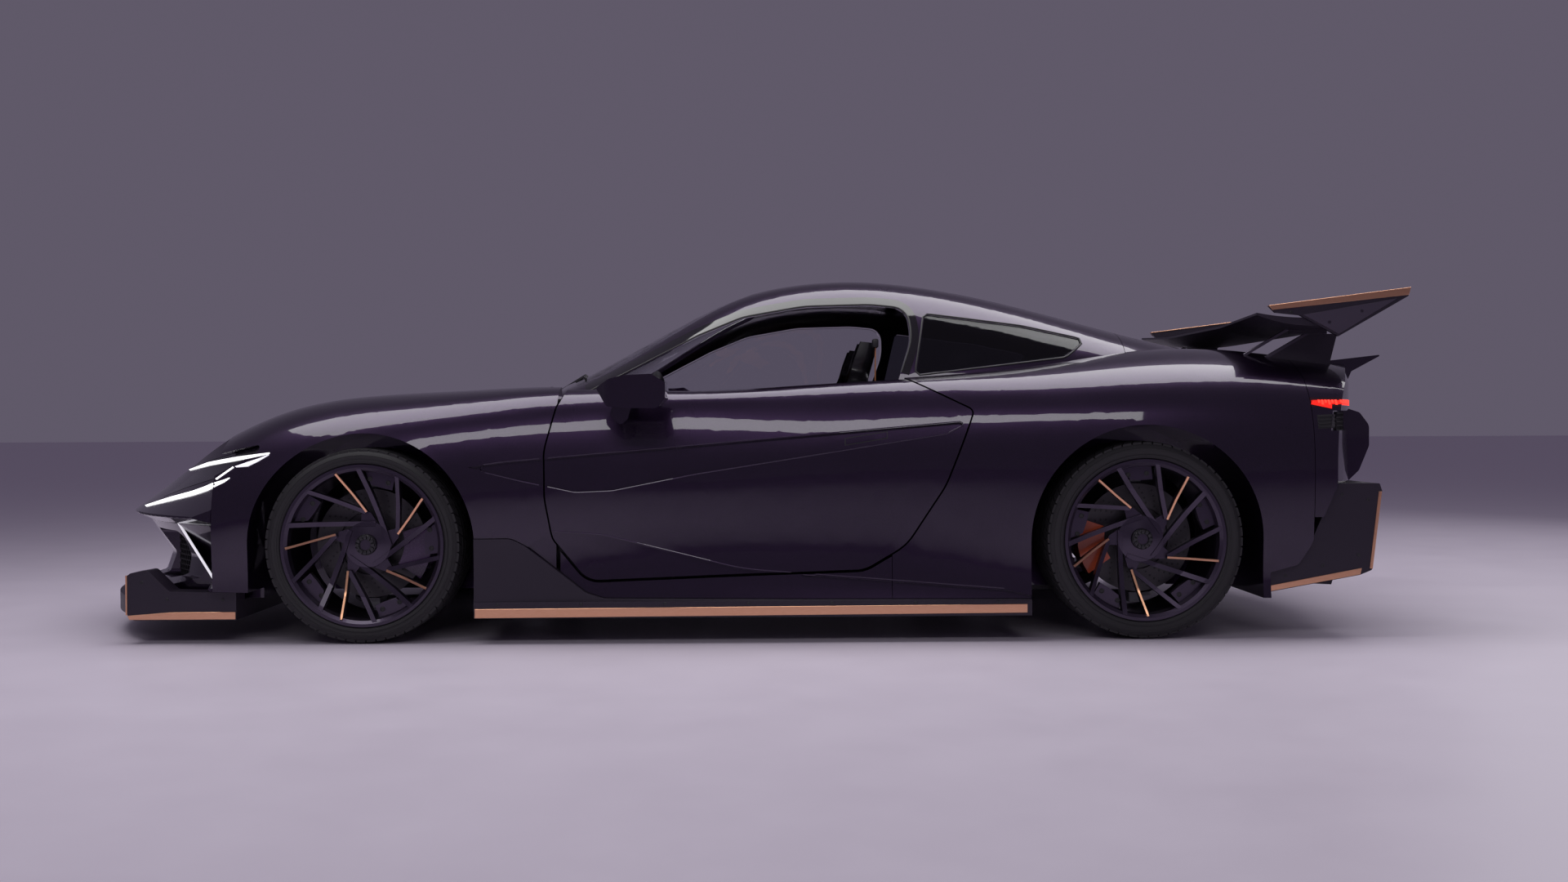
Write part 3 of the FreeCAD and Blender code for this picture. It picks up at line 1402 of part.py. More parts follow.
piece("dashboard", dashboard())
steering_wheel()
piece("front_seats", Part.makeCompound([seat(side) for side in SIDES.values()]))
for label, side in SIDES.items():
    piece("mirror_" + label, mirror(side))

# ---------------------------------------------------------------- check and write

RENAMED = {
    "knuckle_front_left": "front_knuckle_left",
    "knuckle_front_right": "front_knuckle_right",
    "caliper_front_left": "front_caliper_left",
    "caliper_front_right": "front_caliper_right",
}


def paired(name, left, right):
    """Two like bodies carried by the car share one node."""
    pair = doc.addObject("Part::Compound", name)
    pair.Links = [doc.getObject(left), doc.getObject(right)]
    pair.Label = name
    for label in (left, right):
        PIECES.remove(doc.getObject(label))
    PIECES.append(pair)


paired("rear_knuckles", "knuckle_rear_left", "knuckle_rear_right")
paired("rear_calipers", "caliper_rear_left", "caliper_rear_right")
for old, new in RENAMED.items():
    doc.getObject(old).Label = new
doc.recompute()
for item in doc.Objects:
    if "Invalid" in item.State or "Error" in item.State:
        raise RuntimeError("%s failed: %s" % (item.Name, item.State))
for item in PIECES:
    if item.Shape.isNull() or not item.Shape.isValid() or not item.Shape.Solids:
        raise RuntimeError("%s has no valid solid" % item.Label)
os.makedirs("parts", exist_ok=True)
for item in PIECES:
    item.Shape.exportStep("parts/%s.step" % item.Label)
print("wrote", len(PIECES), "parts")
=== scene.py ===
# %% [markdown]
# # A two-seat hypercar, finished in Blender
# The frame brings every hard panel, wheel and joint of the car to its true place. This lesson
# adds what construction leaves out: paint with flake in it, tyre tread, copper edging, lamps,
# mesh, stitched leather and small fasteners. Each part of the lesson says what the piece is on
# a real car, how it might be made, and why it is made the way that it is here.

# %% Load the frame
import math
import random

import bmesh
import bpy
from mathutils import Matrix, Vector
from mathutils.bvhtree import BVHTree


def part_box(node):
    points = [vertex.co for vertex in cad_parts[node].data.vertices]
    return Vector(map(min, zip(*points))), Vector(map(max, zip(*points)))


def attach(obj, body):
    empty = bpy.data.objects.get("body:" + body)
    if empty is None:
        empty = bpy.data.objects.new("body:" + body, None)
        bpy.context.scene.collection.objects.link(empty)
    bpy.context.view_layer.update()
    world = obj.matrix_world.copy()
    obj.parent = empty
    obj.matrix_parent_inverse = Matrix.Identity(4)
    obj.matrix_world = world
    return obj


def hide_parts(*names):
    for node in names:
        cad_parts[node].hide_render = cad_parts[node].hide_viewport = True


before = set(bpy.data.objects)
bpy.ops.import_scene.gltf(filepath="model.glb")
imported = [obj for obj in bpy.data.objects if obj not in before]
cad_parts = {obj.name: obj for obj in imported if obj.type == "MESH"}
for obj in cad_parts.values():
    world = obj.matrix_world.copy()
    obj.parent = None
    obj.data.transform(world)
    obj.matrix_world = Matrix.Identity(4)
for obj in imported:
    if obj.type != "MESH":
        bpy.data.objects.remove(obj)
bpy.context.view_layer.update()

random.seed(7)

# %% [markdown]
# ## Camera, floor and light
# A car is judged by the long highlights that run over it, so the studio is plain: a pale
# floor, a pale backdrop of light, one broad soft box above and a long strip on the near side.
# A sky texture would also light it, but its sun would burn small hard spots into black paint.

# %% Camera
CAMERA_PLACE = (0.1053, -6.4617, 0.7958)      # level with the top of the doors
CAMERA_TURN = (-0.0117, -0.0133, -0.0044)     # heading, tilt and roll in radians

camera = bpy.data.cameras.new("camera")
camera.lens = 35
camera.sensor_width = 36
view = bpy.data.objects.new("camera", camera)
heading, tilt, roll = CAMERA_TURN
view.matrix_world = (Matrix.Translation(CAMERA_PLACE) @ Matrix.Rotation(heading, 4, "Z")
                     @ Matrix.Rotation(math.radians(90) + tilt, 4, "X")
                     @ Matrix.Rotation(roll, 4, "Z"))
bpy.context.collection.objects.link(view)
bpy.context.scene.camera = view
bpy.context.scene.view_settings.view_transform = "Standard"
print("camera", round(-CAMERA_PLACE[1], 2), "m from the middle of the car")


# %% Lights and floor
def soft_box(name, place, target, size, power, colour=(1, 1, 1)):
    """A rectangular lamp that faces its target."""
    lamp = bpy.data.lights.new(name, "AREA")
    lamp.shape = "RECTANGLE"
    lamp.size, lamp.size_y = size
    lamp.energy = power
    lamp.color = colour
    holder = bpy.data.objects.new(name, lamp)
    holder.location = place
    aim = Vector(target) - Vector(place)
    holder.rotation_euler = aim.to_track_quat("-Z", "Y").to_euler()
    bpy.context.collection.objects.link(holder)


soft_box("roof_box", (0.3, -0.4, 4.6), (0.2, 0, 0), (8.5, 2.6), 235)
soft_box("near_strip", (-0.5, -6.5, 4.8), (0, 0, 0.5), (7.0, 1.0), 78)
soft_box("tail_strip", (6.5, 3.5, 3.0), (0, 0, 0.6), (4.0, 1.0), 38)

world = bpy.data.worlds.new("studio")
world.use_nodes = True
bpy.context.scene.world = world
backdrop = world.node_tree.nodes["Background"]
backdrop.inputs["Color"].default_value = (0.43, 0.37, 0.52, 1)
backdrop.inputs["Strength"].default_value = 0.27
print("lamps:", len(bpy.data.lights))

# %% [markdown]
# ## Finishes
# Every surface gets a material made of nodes. Most of them share one idea: a base tone, a fine
# grain that shifts the tone and the roughness a little, and a bump of the same grain. Image
# textures could do this too, but grain computed from the piece's own coordinates has no seams
# and stays at the right scale at any distance.


# %% The common recipe
def new_material(name, **sockets):
    """A material whose shader sockets are set directly."""
    made = bpy.data.materials.new(name)
    made.use_nodes = True
    shader = made.node_tree.nodes["Principled BSDF"]
    for socket, value in sockets.items():
        shader.inputs[socket.replace("_", " ")].default_value = value
    return made, made.node_tree, shader


def add(tree, kind, **inputs):
    """A node of one kind, with some of its inputs set."""
    node = tree.nodes.new(kind)
    for key, value in inputs.items():
        node.inputs[key.replace("_", " ")].default_value = value
    return node


def place_of(tree, stretch=(1, 1, 1), turn=(0, 0, 0)):
    """The piece's own coordinates, stretched and turned for a pattern."""
    where = tree.nodes.new("ShaderNodeTexCoord")
    mapping = add(tree, "ShaderNodeMapping", Scale=stretch, Rotation=turn)
    tree.links.new(where.outputs["Object"], mapping.inputs["Vector"])
    return mapping.outputs["Vector"]


def spread(tree, source, low, high):
    """A value from 0 to 1, spread between two others."""
    node = add(tree, "ShaderNodeMapRange", To_Min=low, To_Max=high)
    tree.links.new(source, node.inputs["Value"])
    return node.outputs["Result"]


def two_tone(tree, factor, dark, light):
    """A colour between two tones."""
    node = tree.nodes.new("ShaderNodeMix")
    node.data_type = "RGBA"
    node.inputs["A"].default_value = (*dark, 1)
    node.inputs["B"].default_value = (*light, 1)
    tree.links.new(factor, node.inputs["Factor"])
    return node.outputs["Result"]


def bumped(tree, shader, height, depth, strength=0.5):
    """Raises the surface's look by a height in metres."""
    node = add(tree, "ShaderNodeBump", Strength=strength, Distance=depth)
    tree.links.new(height, node.inputs["Height"])
    tree.links.new(node.outputs["Normal"], shader.inputs["Normal"])


def grained(name, dark, light, rough, scale, depth=0.0, stretch=(1, 1, 1), **sockets):
    """A finish of two close tones in a fine grain, with roughness from low to high."""
    made, tree, shader = new_material(name, **sockets)
    noise = add(tree, "ShaderNodeTexNoise", Scale=scale, Detail=5.0, Roughness=0.6)
    tree.links.new(place_of(tree, stretch), noise.inputs["Vector"])
    value = noise.outputs["Fac"]
    tree.links.new(two_tone(tree, value, dark, light), shader.inputs["Base Color"])
    tree.links.new(spread(tree, value, *rough), shader.inputs["Roughness"])
    if depth:
        bumped(tree, shader, value, depth)
    return made


# %% Paint
def flake_paint():
    """Near-black violet paint: metal flake under a clear coat, with the faint waves that a
    long polished panel has."""
    made, tree, shader = new_material("violet_flake_paint", Metallic=0.86, Coat_Weight=1.0,
                                      Coat_Roughness=0.025, Coat_IOR=1.55)
    flakes = add(tree, "ShaderNodeTexVoronoi", Scale=1800.0)
    tree.links.new(place_of(tree), flakes.inputs["Vector"])
    tint = two_tone(tree, flakes.outputs["Color"], (0.007, 0.003, 0.012), (0.036, 0.015, 0.056))
    tree.links.new(tint, shader.inputs["Base Color"])
    cloud = add(tree, "ShaderNodeTexNoise", Scale=3.0, Detail=2.0)
    tree.links.new(place_of(tree), cloud.inputs["Vector"])
    tree.links.new(spread(tree, cloud.outputs["Fac"], 0.24, 0.34), shader.inputs["Roughness"])
    return made


PAINT = flake_paint()
print("paint:", PAINT.name)


# %% Carbon cloth
def carbon_cloth(name, tone, rough, coat):
    """Twill cloth under resin: bands of fibre that cross, each shining its own way."""
    made, tree, shader = new_material(name, Metallic=0.2, Coat_Weight=coat, Coat_Roughness=0.12)
    where = place_of(tree, turn=(0.6, 0.5, 0.785))
    warp = add(tree, "ShaderNodeTexWave", Scale=70.0)
    weft = add(tree, "ShaderNodeTexWave", Scale=70.0)
    weft.bands_direction = "Y"
    cells = add(tree, "ShaderNodeTexChecker", Scale=440.0)
    for node in (warp, weft, cells):
        tree.links.new(where, node.inputs["Vector"])
    blend = tree.nodes.new("ShaderNodeMix")
    tree.links.new(cells.outputs["Fac"], blend.inputs["Factor"])
    tree.links.new(warp.outputs["Fac"], blend.inputs["A"])
    tree.links.new(weft.outputs["Fac"], blend.inputs["B"])
    value = blend.outputs["Result"]
    light = tuple(2.6 * part for part in tone)
    tree.links.new(two_tone(tree, value, tone, light), shader.inputs["Base Color"])
    tree.links.new(spread(tree, value, rough, rough + 0.16), shader.inputs["Roughness"])
    bumped(tree, shader, value, 0.0002, 0.3)
    return made


CARBON = carbon_cloth("carbon_twill", (0.010, 0.009, 0.012), 0.28, 0.5)
AERO = carbon_cloth("satin_violet_carbon", (0.014, 0.010, 0.018), 0.36, 0.0)
print("carbon:", CARBON.name, AERO.name)

# %% Metals, rubber and plastics
COPPER = grained("brushed_copper", (0.78, 0.38, 0.21), (0.96, 0.56, 0.36), (0.24, 0.36), 40,
                 0.00005, (1, 1, 12), Metallic=1.0)
RUBBER = grained("tyre_rubber", (0.011, 0.010, 0.012), (0.030, 0.028, 0.032), (0.62, 0.86), 320,
                 0.0002)
WHEEL = grained("wheel_metal", (0.045, 0.034, 0.058), (0.075, 0.058, 0.092), (0.30, 0.40), 700,
                0.00004, Metallic=0.9, Coat_Weight=0.3)
IRON = grained("disc_iron", (0.050, 0.047, 0.052), (0.110, 0.104, 0.112), (0.34, 0.50), 90,
               0.0001, (6, 0.4, 6), Metallic=0.9)
STEEL = grained("machined_steel", (0.34, 0.33, 0.35), (0.55, 0.54, 0.56), (0.20, 0.34), 240,
                0.00005, Metallic=1.0)
DARK_STEEL = grained("dark_steel", (0.035, 0.034, 0.038), (0.075, 0.072, 0.080), (0.36, 0.52),
                     160, 0.0001, Metallic=0.8)
CAST = grained("cast_alloy", (0.16, 0.16, 0.17), (0.27, 0.27, 0.29), (0.46, 0.64), 260, 0.0004,
               Metallic=0.8)
TITANIUM = grained("heated_titanium", (0.20, 0.16, 0.22), (0.46, 0.34, 0.26), (0.20, 0.34), 12,
                   0.0, (3, 1, 1), Metallic=1.0)
BLACK = grained("black_plastic", (0.010, 0.009, 0.011), (0.024, 0.022, 0.026), (0.42, 0.58),
                900, 0.0001)
GLOSS_BLACK = grained("gloss_black", (0.006, 0.005, 0.007), (0.012, 0.011, 0.014),
                      (0.05, 0.09), 60, Coat_Weight=0.6)
TRIM_FLOCK = grained("cabin_suede", (0.012, 0.010, 0.014), (0.034, 0.029, 0.038), (0.82, 0.96),
                     1300, 0.0003, Sheen_Weight=0.4)
LEATHER = grained("seat_leather", (0.012, 0.010, 0.013), (0.030, 0.026, 0.031), (0.40, 0.56),
                  420, 0.0005)
THREAD = grained("copper_thread", (0.55, 0.24, 0.12), (0.82, 0.40, 0.22), (0.55, 0.7), 2000)
WEBBING = grained("belt_webbing", (0.50, 0.18, 0.07), (0.72, 0.30, 0.13), (0.6, 0.75), 900,
                  0.0003, (1, 1, 3))
VIOLET_CALIPER = grained("violet_caliper", (0.055, 0.020, 0.085), (0.085, 0.034, 0.125),
                         (0.22, 0.32), 160, 0.00005, Coat_Weight=0.6)
ORANGE_CALIPER = grained("orange_caliper", (0.46, 0.065, 0.020), (0.62, 0.110, 0.036),
                         (0.24, 0.34), 160, 0.00005, Coat_Weight=0.6)
print("finishes:", len(bpy.data.materials))


# %% Glass and lamps
def clear(name, tint, rough=0.01, **sockets):
    """Glass, with a trace of uneven polish."""
    made, tree, shader = new_material(name, Transmission_Weight=1.0, IOR=1.45, **sockets)
    shader.inputs["Base Color"].default_value = (*tint, 1)
    haze = add(tree, "ShaderNodeTexNoise", Scale=9.0)
    tree.links.new(place_of(tree), haze.inputs["Vector"])
    tree.links.new(spread(tree, haze.outputs["Fac"], rough, rough + 0.02),
                   shader.inputs["Roughness"])
    return made


def lit(name, colour, strength):
    """A lamp's glowing face, a little brighter in the middle of each diode."""
    made, tree, shader = new_material(name, Roughness=0.3)
    shader.inputs["Emission Color"].default_value = (*colour, 1)
    shader.inputs["Emission Strength"].default_value = strength
    noise = add(tree, "ShaderNodeTexNoise", Scale=80.0)
    tree.links.new(place_of(tree), noise.inputs["Vector"])
    dark = tuple(0.8 * part for part in colour)
    tree.links.new(two_tone(tree, noise.outputs["Fac"], dark, colour),
                   shader.inputs["Base Color"])
    return made


WINDOW = clear("window_glass", (0.80, 0.80, 0.84))
PRIVACY = clear("privacy_glass", (0.10, 0.10, 0.12))
LAMP_GLASS = grained("smoked_lamp_glass", (0.007, 0.006, 0.010), (0.013, 0.011, 0.018),
                     (0.04, 0.07), 12, Coat_Weight=1.0)
TAIL_GLASS = grained("red_lamp_glass", (0.020, 0.001, 0.002), (0.035, 0.002, 0.003),
                     (0.05, 0.08), 12, Coat_Weight=1.0)
WHITE_LIGHT = lit("white_light_guide", (1.0, 1.0, 1.0), 1.2)
PALE_LIGHT = lit("pale_light_guide", (0.90, 0.88, 0.95), 0.7)
RED_LIGHT = lit("red_light_guide", (1.0, 0.035, 0.02), 2.0)
RED_GLOW = lit("red_light_band", (0.90, 0.02, 0.012), 0.75)
SCREEN = lit("screen_glow", (0.05, 0.10, 0.16), 0.35)
MIRROR_GLASS = grained("mirror_glass", (0.80, 0.80, 0.82), (0.86, 0.86, 0.88), (0.01, 0.03), 5,
                       Metallic=1.0)
print("glass and lamps ready")

# %% Put the finishes on the frame's own pieces
NODE_FINISH = {
    PAINT: ("front_fenders", "rear_quarters", "sill_panels", "front_bumper", "bonnet",
            "cowl_panel", "boot_lid", "rear_deck", "door_left", "door_right", "roof_frame",
            "rear_bumper", "mirror_left", "mirror_right", "tail_spoiler"),
    AERO: ("side_skirts", "front_splitter", "rear_diffuser", "rear_wing", "wing_supports"),
    CARBON: ("cabin_tub",),
    DARK_STEEL: ("front_frame", "rear_frame"),
    BLACK: ("front_grille", "steering_wheel"),
    LAMP_GLASS: ("headlamps",),
    TAIL_GLASS: ("tail_lamp",),
    WINDOW: ("windscreen", "rear_window", "window_right"),
    PRIVACY: ("quarter_windows",),
    CAST: ("suspension_arms", "rear_axle", "engine_block", "rear_knuckles",
           "front_knuckle_left", "front_knuckle_right"),
    TITANIUM: ("exhaust_pipes",),
    TRIM_FLOCK: ("dashboard",),
    VIOLET_CALIPER: ("front_caliper_left", "front_caliper_right"),
    ORANGE_CALIPER: ("rear_calipers",),
    WHEEL: ("rim_front_left", "rim_front_right", "rim_rear_left", "rim_rear_right"),
    IRON: ("brake_disc_front_left", "brake_disc_front_right", "brake_disc_rear_left",
           "brake_disc_rear_right"),
}
painted = 0
for material, names in NODE_FINISH.items():
    for name in names:
        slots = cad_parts[name].material_slots
        for place in slots:
            place.material = material
        painted += len(slots)
print("slots refinished:", painted)

# %% [markdown]
# ## Tools for shaping
# Four helpers make most of what follows. One finds the skin of the frame's panels, so that
# trim can be laid on it. One lays a thin strip between two lines on that skin. One sweeps an
# outline along a path. The last one turns a profile round a wheel's axis. Curves with a bevel
# would sweep too, but a mesh with its own caps exports just as it looks.

# %% Finding the skin of the frame
def skin_of(*names):
    """A search tree over the faces of some of the frame's nodes."""
    points, faces = [], []
    for name in names:
        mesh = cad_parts[name].data
        first = len(points)
        points += [vertex.co.copy() for vertex in mesh.vertices]
        faces += [[first + index for index in face.vertices] for face in mesh.polygons]
    return BVHTree.FromPolygons(points, faces)


def touch(skin, point, direction):
    """Where a line through the point first meets the skin, and which way the skin faces."""
    direction = Vector(direction).normalized()
    place, normal, _, _ = skin.ray_cast(Vector(point) - direction, direction, 3.0)
    if place is None:
        place, normal, _, _ = skin.find_nearest(Vector(point))
    if normal.dot(direction) > 0:
        normal = -normal
    return place, normal


def resampled(line, count, loop=False):
    """Evenly spaced points along a line of straight runs."""
    line = [Vector(point) for point in line]
    if loop:
        line = line + line[:1]
    runs = [(b - a).length for a, b in zip(line, line[1:])]
    total, steps = sum(runs), count if loop else count - 1
    found, at, run = [], 0.0, 0
    for index in range(count):
        want = total * index / steps
        while run < len(runs) - 1 and at + runs[run] < want - 1e-9:
            at += runs[run]
            run += 1
        part = (want - at) / runs[run] if runs[run] else 0.0
        found.append(line[run].lerp(line[run + 1], min(part, 1.0)))
    return found


# %% Making and settling a piece
def solid_from(name, points, faces):
    """A mesh object with its faces turned outwards."""
    mesh = bpy.data.meshes.new(name)
    mesh.from_pydata([tuple(point) for point in points], [], faces)
    shape = bmesh.new()
    shape.from_mesh(mesh)
    bmesh.ops.remove_doubles(shape, verts=shape.verts, dist=1e-6)
    bmesh.ops.recalc_face_normals(shape, faces=shape.faces)
    shape.to_mesh(mesh)
    shape.free()
    made = bpy.data.objects.new(name, mesh)
    bpy.context.collection.objects.link(made)
    return made


def joined(name, pieces):
    """Several pieces as one mesh."""
    shape = bmesh.new()
    for part in pieces:
        shape.from_mesh(part.data)
    mesh = bpy.data.meshes.new(name)
    shape.to_mesh(mesh)
    shape.free()
    for part in pieces:
        bpy.data.objects.remove(part)
    made = bpy.data.objects.new(name, mesh)
    bpy.context.collection.objects.link(made)
    return made


def other_side(name, source):
    """The same piece on the right-hand side of the car."""
    mesh = source.data.copy()
    mesh.transform(Matrix.Scale(-1, 4, (0, 1, 0)))
    mesh.flip_normals()
    made = bpy.data.objects.new(name, mesh)
    bpy.context.collection.objects.link(made)
    return made


def settle(piece, body, material, sharp=32):
    """Gives a piece its finish, its smooth shading and its body."""
    mesh = piece.data
    mesh.materials.clear()
    mesh.materials.append(material)
    for face in mesh.polygons:
        face.material_index = 0
    mesh.polygons.foreach_set("use_smooth", [True] * len(mesh.polygons))
    mesh.set_sharp_from_angle(angle=math.radians(sharp))
    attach(piece, body)
    return piece


def both_sides(name, source, body, material):
    """One piece that holds a left shape and its mirror image."""
    right = other_side(name + "_right", source)
    return settle(joined(name, [source, right]), body, material)


# %% Strips laid on the skin
def draped(name, low, high, skin, toward, proud=0.0015, columns=60, rows=3, sunk=0.002):
    """A thin strip between two lines, laid on the skin. The way that the search runs may be
    one direction for all of it, or worked out for each point."""
    low, high = resampled(low, columns), resampled(high, columns)
    outer, inner = [], []
    for a, b in zip(low, high):
        for row in range(rows):
            start = a.lerp(b, row / (rows - 1))
            way = toward(start) if callable(toward) else toward
            place, normal = touch(skin, start, way)
            outer.append(place + normal * proud)
            inner.append(place - normal * sunk)
    count = len(outer)
    faces = []
    for column in range(columns - 1):
        for row in range(rows - 1):
            corner = column * rows + row
            quad = [corner, corner + 1, corner + rows + 1, corner + rows]
            faces += [quad, [count + index for index in reversed(quad)]]
    rim = ([c * rows for c in range(columns)]
           + [(columns - 1) * rows + r for r in range(1, rows)]
           + [c * rows + rows - 1 for c in range(columns - 2, -1, -1)]
           + [r for r in range(rows - 2, 0, -1)])
    faces += [[a, b, count + b, count + a] for a, b in zip(rim, rim[1:] + rim[:1])]
    return solid_from(name, outer + inner, faces)


# %% Sweeps and turned shapes
def swept(name, path, ups, outline, loop=False):
    """An outline of (side, up) pairs carried along a path that keeps its own up."""
    count, size = len(path), len(outline)
    points = []
    for index, place in enumerate(path):
        ahead = path[(index + 1) % count] if loop or index < count - 1 else place
        behind = path[index - 1] if loop or index else place
        along = (ahead - behind).normalized()
        up = (ups[index] - along * ups[index].dot(along)).normalized()
        side = along.cross(up)
        points += [place + side * u + up * v for u, v in outline]
    faces = []
    for index in range(count if loop else count - 1):
        a, b = index * size, (index + 1) % count * size
        for edge in range(size):
            nxt = (edge + 1) % size
            faces.append([a + edge, a + nxt, b + nxt, b + edge])
    if not loop:
        faces += [list(range(size)), list(range((count - 1) * size, count * size))[::-1]]
    return solid_from(name, points, faces)


def ring_faces(segments, size, edges):
    """The faces between neighbouring rings of points, all the way round."""
    faces = []
    for step in range(segments):
        a, b = step * size, (step + 1) % segments * size
        faces += [[a + edge, a + (edge + 1) % size, b + (edge + 1) % size, b + edge]
                  for edge in range(edges)]
    return faces


def turned(name, profile, centre, segments=96, closed=True):
    """A profile of (radius, outward) pairs turned round the wheel axis at a centre. Outward
    grows towards the near side of the wheel."""
    side = math.copysign(1, centre.y)
    points, size = [], len(profile)
    for step in range(segments):
        angle = 2 * math.pi * step / segments
        for radius, out in profile:
            points.append(centre + Vector((radius * math.cos(angle), side * out,
                                           radius * math.sin(angle))))
    return solid_from(name, points, ring_faces(segments, size, size if closed else size - 1))


def tilted(piece, centre, axis):
    """The piece swung about a centre until what pointed along Y points along the axis."""
    turn = Vector((0, 1, 0)).rotation_difference(axis).to_matrix()
    for vertex in piece.data.vertices:
        vertex.co = centre + turn @ (vertex.co - centre)
    return piece


def rounded_box(name, low, high, bevel=0.002):
    """A block between two corners with its edges softened."""
    shape = bmesh.new()
    bmesh.ops.create_cube(shape, size=1.0)
    low, high = Vector(low), Vector(high)
    for vertex in shape.verts:
        vertex.co = Vector((c + 0.5) * (b - a) + a for c, a, b in zip(vertex.co, low, high))
    bmesh.ops.bevel(shape, geom=shape.edges, offset=bevel, segments=2, affect="EDGES",
                    profile=0.5)
    mesh = bpy.data.meshes.new(name)
    shape.to_mesh(mesh)
    shape.free()
    made = bpy.data.objects.new(name, mesh)
    bpy.context.collection.objects.link(made)
    return made


print("shaping tools ready")

# %% [markdown]
# ## Copies that follow a rule
# Tread blocks, black discs painted as the shade inside the disc drillings, lamp segments and
# mesh cells all repeat. Geometry Nodes make them: one small shape goes in, and a tree sets its
# copies round a ring, over a staggered grid, or at chosen points. The trees end in real faces
# with a material on them, because an exported model holds no instances. Linked duplicates would
# also work, but there would be thousands of them to manage.

# %% The three trees
def new_tree(name, inputs):
    """An empty tree with named inputs and one way out."""
    tree = bpy.data.node_groups.new(name, "GeometryNodeTree")
    tree.interface.new_socket("Geometry", in_out="INPUT", socket_type="NodeSocketGeometry")
    for label, kind in inputs:
        tree.interface.new_socket(label, in_out="INPUT", socket_type="NodeSocket" + kind)
    tree.interface.new_socket("Geometry", in_out="OUTPUT", socket_type="NodeSocketGeometry")
    return tree, tree.nodes.new("NodeGroupInput"), tree.nodes.new("NodeGroupOutput")


def sums(tree, operation, first, second):
    """One step of arithmetic. Each side is a socket or a plain number."""
    node = tree.nodes.new("ShaderNodeMath")
    node.operation = operation
    for socket, value in zip(node.inputs, (first, second)):
        if isinstance(value, (int, float)):
            socket.default_value = value
        else:
            tree.links.new(value, socket)
    return node.outputs[0]


def close_tree(tree, start, end, points, instance, rotation=None):
    """Instances on points, made real and given their material."""
    place = tree.nodes.new("GeometryNodeInstanceOnPoints")
    tree.links.new(points, place.inputs["Points"])
    tree.links.new(instance, place.inputs["Instance"])
    if rotation:
        tree.links.new(rotation, place.inputs["Rotation"])
    real = tree.nodes.new("GeometryNodeRealizeInstances")
    coat = tree.nodes.new("GeometryNodeSetMaterial")
    tree.links.new(place.outputs["Instances"], real.inputs["Geometry"])
    tree.links.new(real.outputs["Geometry"], coat.inputs["Geometry"])
    tree.links.new(start.outputs["Material"], coat.inputs["Material"])
    tree.links.new(coat.outputs["Geometry"], end.inputs["Geometry"])
    return tree


def ring_tree():
    """Copies turned round the wheel axis through a centre."""
    tree, start, end = new_tree("copies_in_a_ring", [
        ("Count", "Int"), ("Centre", "Vector"), ("Material", "Material")])
    points = tree.nodes.new("GeometryNodePoints")
    tree.links.new(start.outputs["Count"], points.inputs["Count"])
    tree.links.new(start.outputs["Centre"], points.inputs["Position"])
    index = tree.nodes.new("GeometryNodeInputIndex").outputs["Index"]
    turn = sums(tree, "DIVIDE", sums(tree, "MULTIPLY", index, 2 * math.pi),
                start.outputs["Count"])
    angles = tree.nodes.new("ShaderNodeCombineXYZ")
    tree.links.new(turn, angles.inputs["Y"])
    return close_tree(tree, start, end, points.outputs["Points"], start.outputs["Geometry"],
                      angles.outputs["Vector"])


def grid_tree():
    """Copies in rows, with every second row moved by half a step."""
    tree, start, end = new_tree("copies_in_a_grid", [
        ("Columns", "Int"), ("Rows", "Int"), ("Corner", "Vector"), ("Across", "Vector"),
        ("Up", "Vector"), ("Material", "Material")])
    points = tree.nodes.new("GeometryNodePoints")
    total = sums(tree, "MULTIPLY", start.outputs["Columns"], start.outputs["Rows"])
    tree.links.new(total, points.inputs["Count"])
    index = tree.nodes.new("GeometryNodeInputIndex").outputs["Index"]
    row = sums(tree, "FLOOR", sums(tree, "DIVIDE", sums(tree, "ADD", index, 0.5),
                                   start.outputs["Columns"]), 0)
    column = sums(tree, "SUBTRACT", index, sums(tree, "MULTIPLY", row,
                                                start.outputs["Columns"]))
    column = sums(tree, "ADD", column, sums(tree, "MULTIPLY", sums(tree, "MODULO", row, 2), 0.5))
    place = start.outputs["Corner"]
    for amount, step in ((column, start.outputs["Across"]), (row, start.outputs["Up"])):
        scaled = tree.nodes.new("ShaderNodeVectorMath")
        scaled.operation = "SCALE"
        tree.links.new(step, scaled.inputs[0])
        tree.links.new(amount, scaled.inputs["Scale"])
        moved = tree.nodes.new("ShaderNodeVectorMath")
        tree.links.new(place, moved.inputs[0])
        tree.links.new(scaled.outputs[0], moved.inputs[1])
        place = moved.outputs[0]
    tree.links.new(place, points.inputs["Position"])
    return close_tree(tree, start, end, points.outputs["Points"], start.outputs["Geometry"])


def points_tree():
    """Copies of another object at a mesh's points, each with its own turn."""
    tree, start, end = new_tree("copies_at_points", [
        ("Copy Of", "Object"), ("Material", "Material")])
    source = tree.nodes.new("GeometryNodeObjectInfo")
    tree.links.new(start.outputs["Copy Of"], source.inputs["Object"])
    turn = tree.nodes.new("GeometryNodeInputNamedAttribute")
    turn.data_type = "FLOAT_VECTOR"
    turn.inputs["Name"].default_value = "turn"
    points = tree.nodes.new("GeometryNodeMeshToPoints")
    tree.links.new(start.outputs["Geometry"], points.inputs["Mesh"])
    return close_tree(tree, start, end, points.outputs["Points"], source.outputs["Geometry"],
                      turn.outputs["Attribute"])


RING, GRID, AT_POINTS = ring_tree(), grid_tree(), points_tree()
print("trees:", RING.name, GRID.name, AT_POINTS.name)


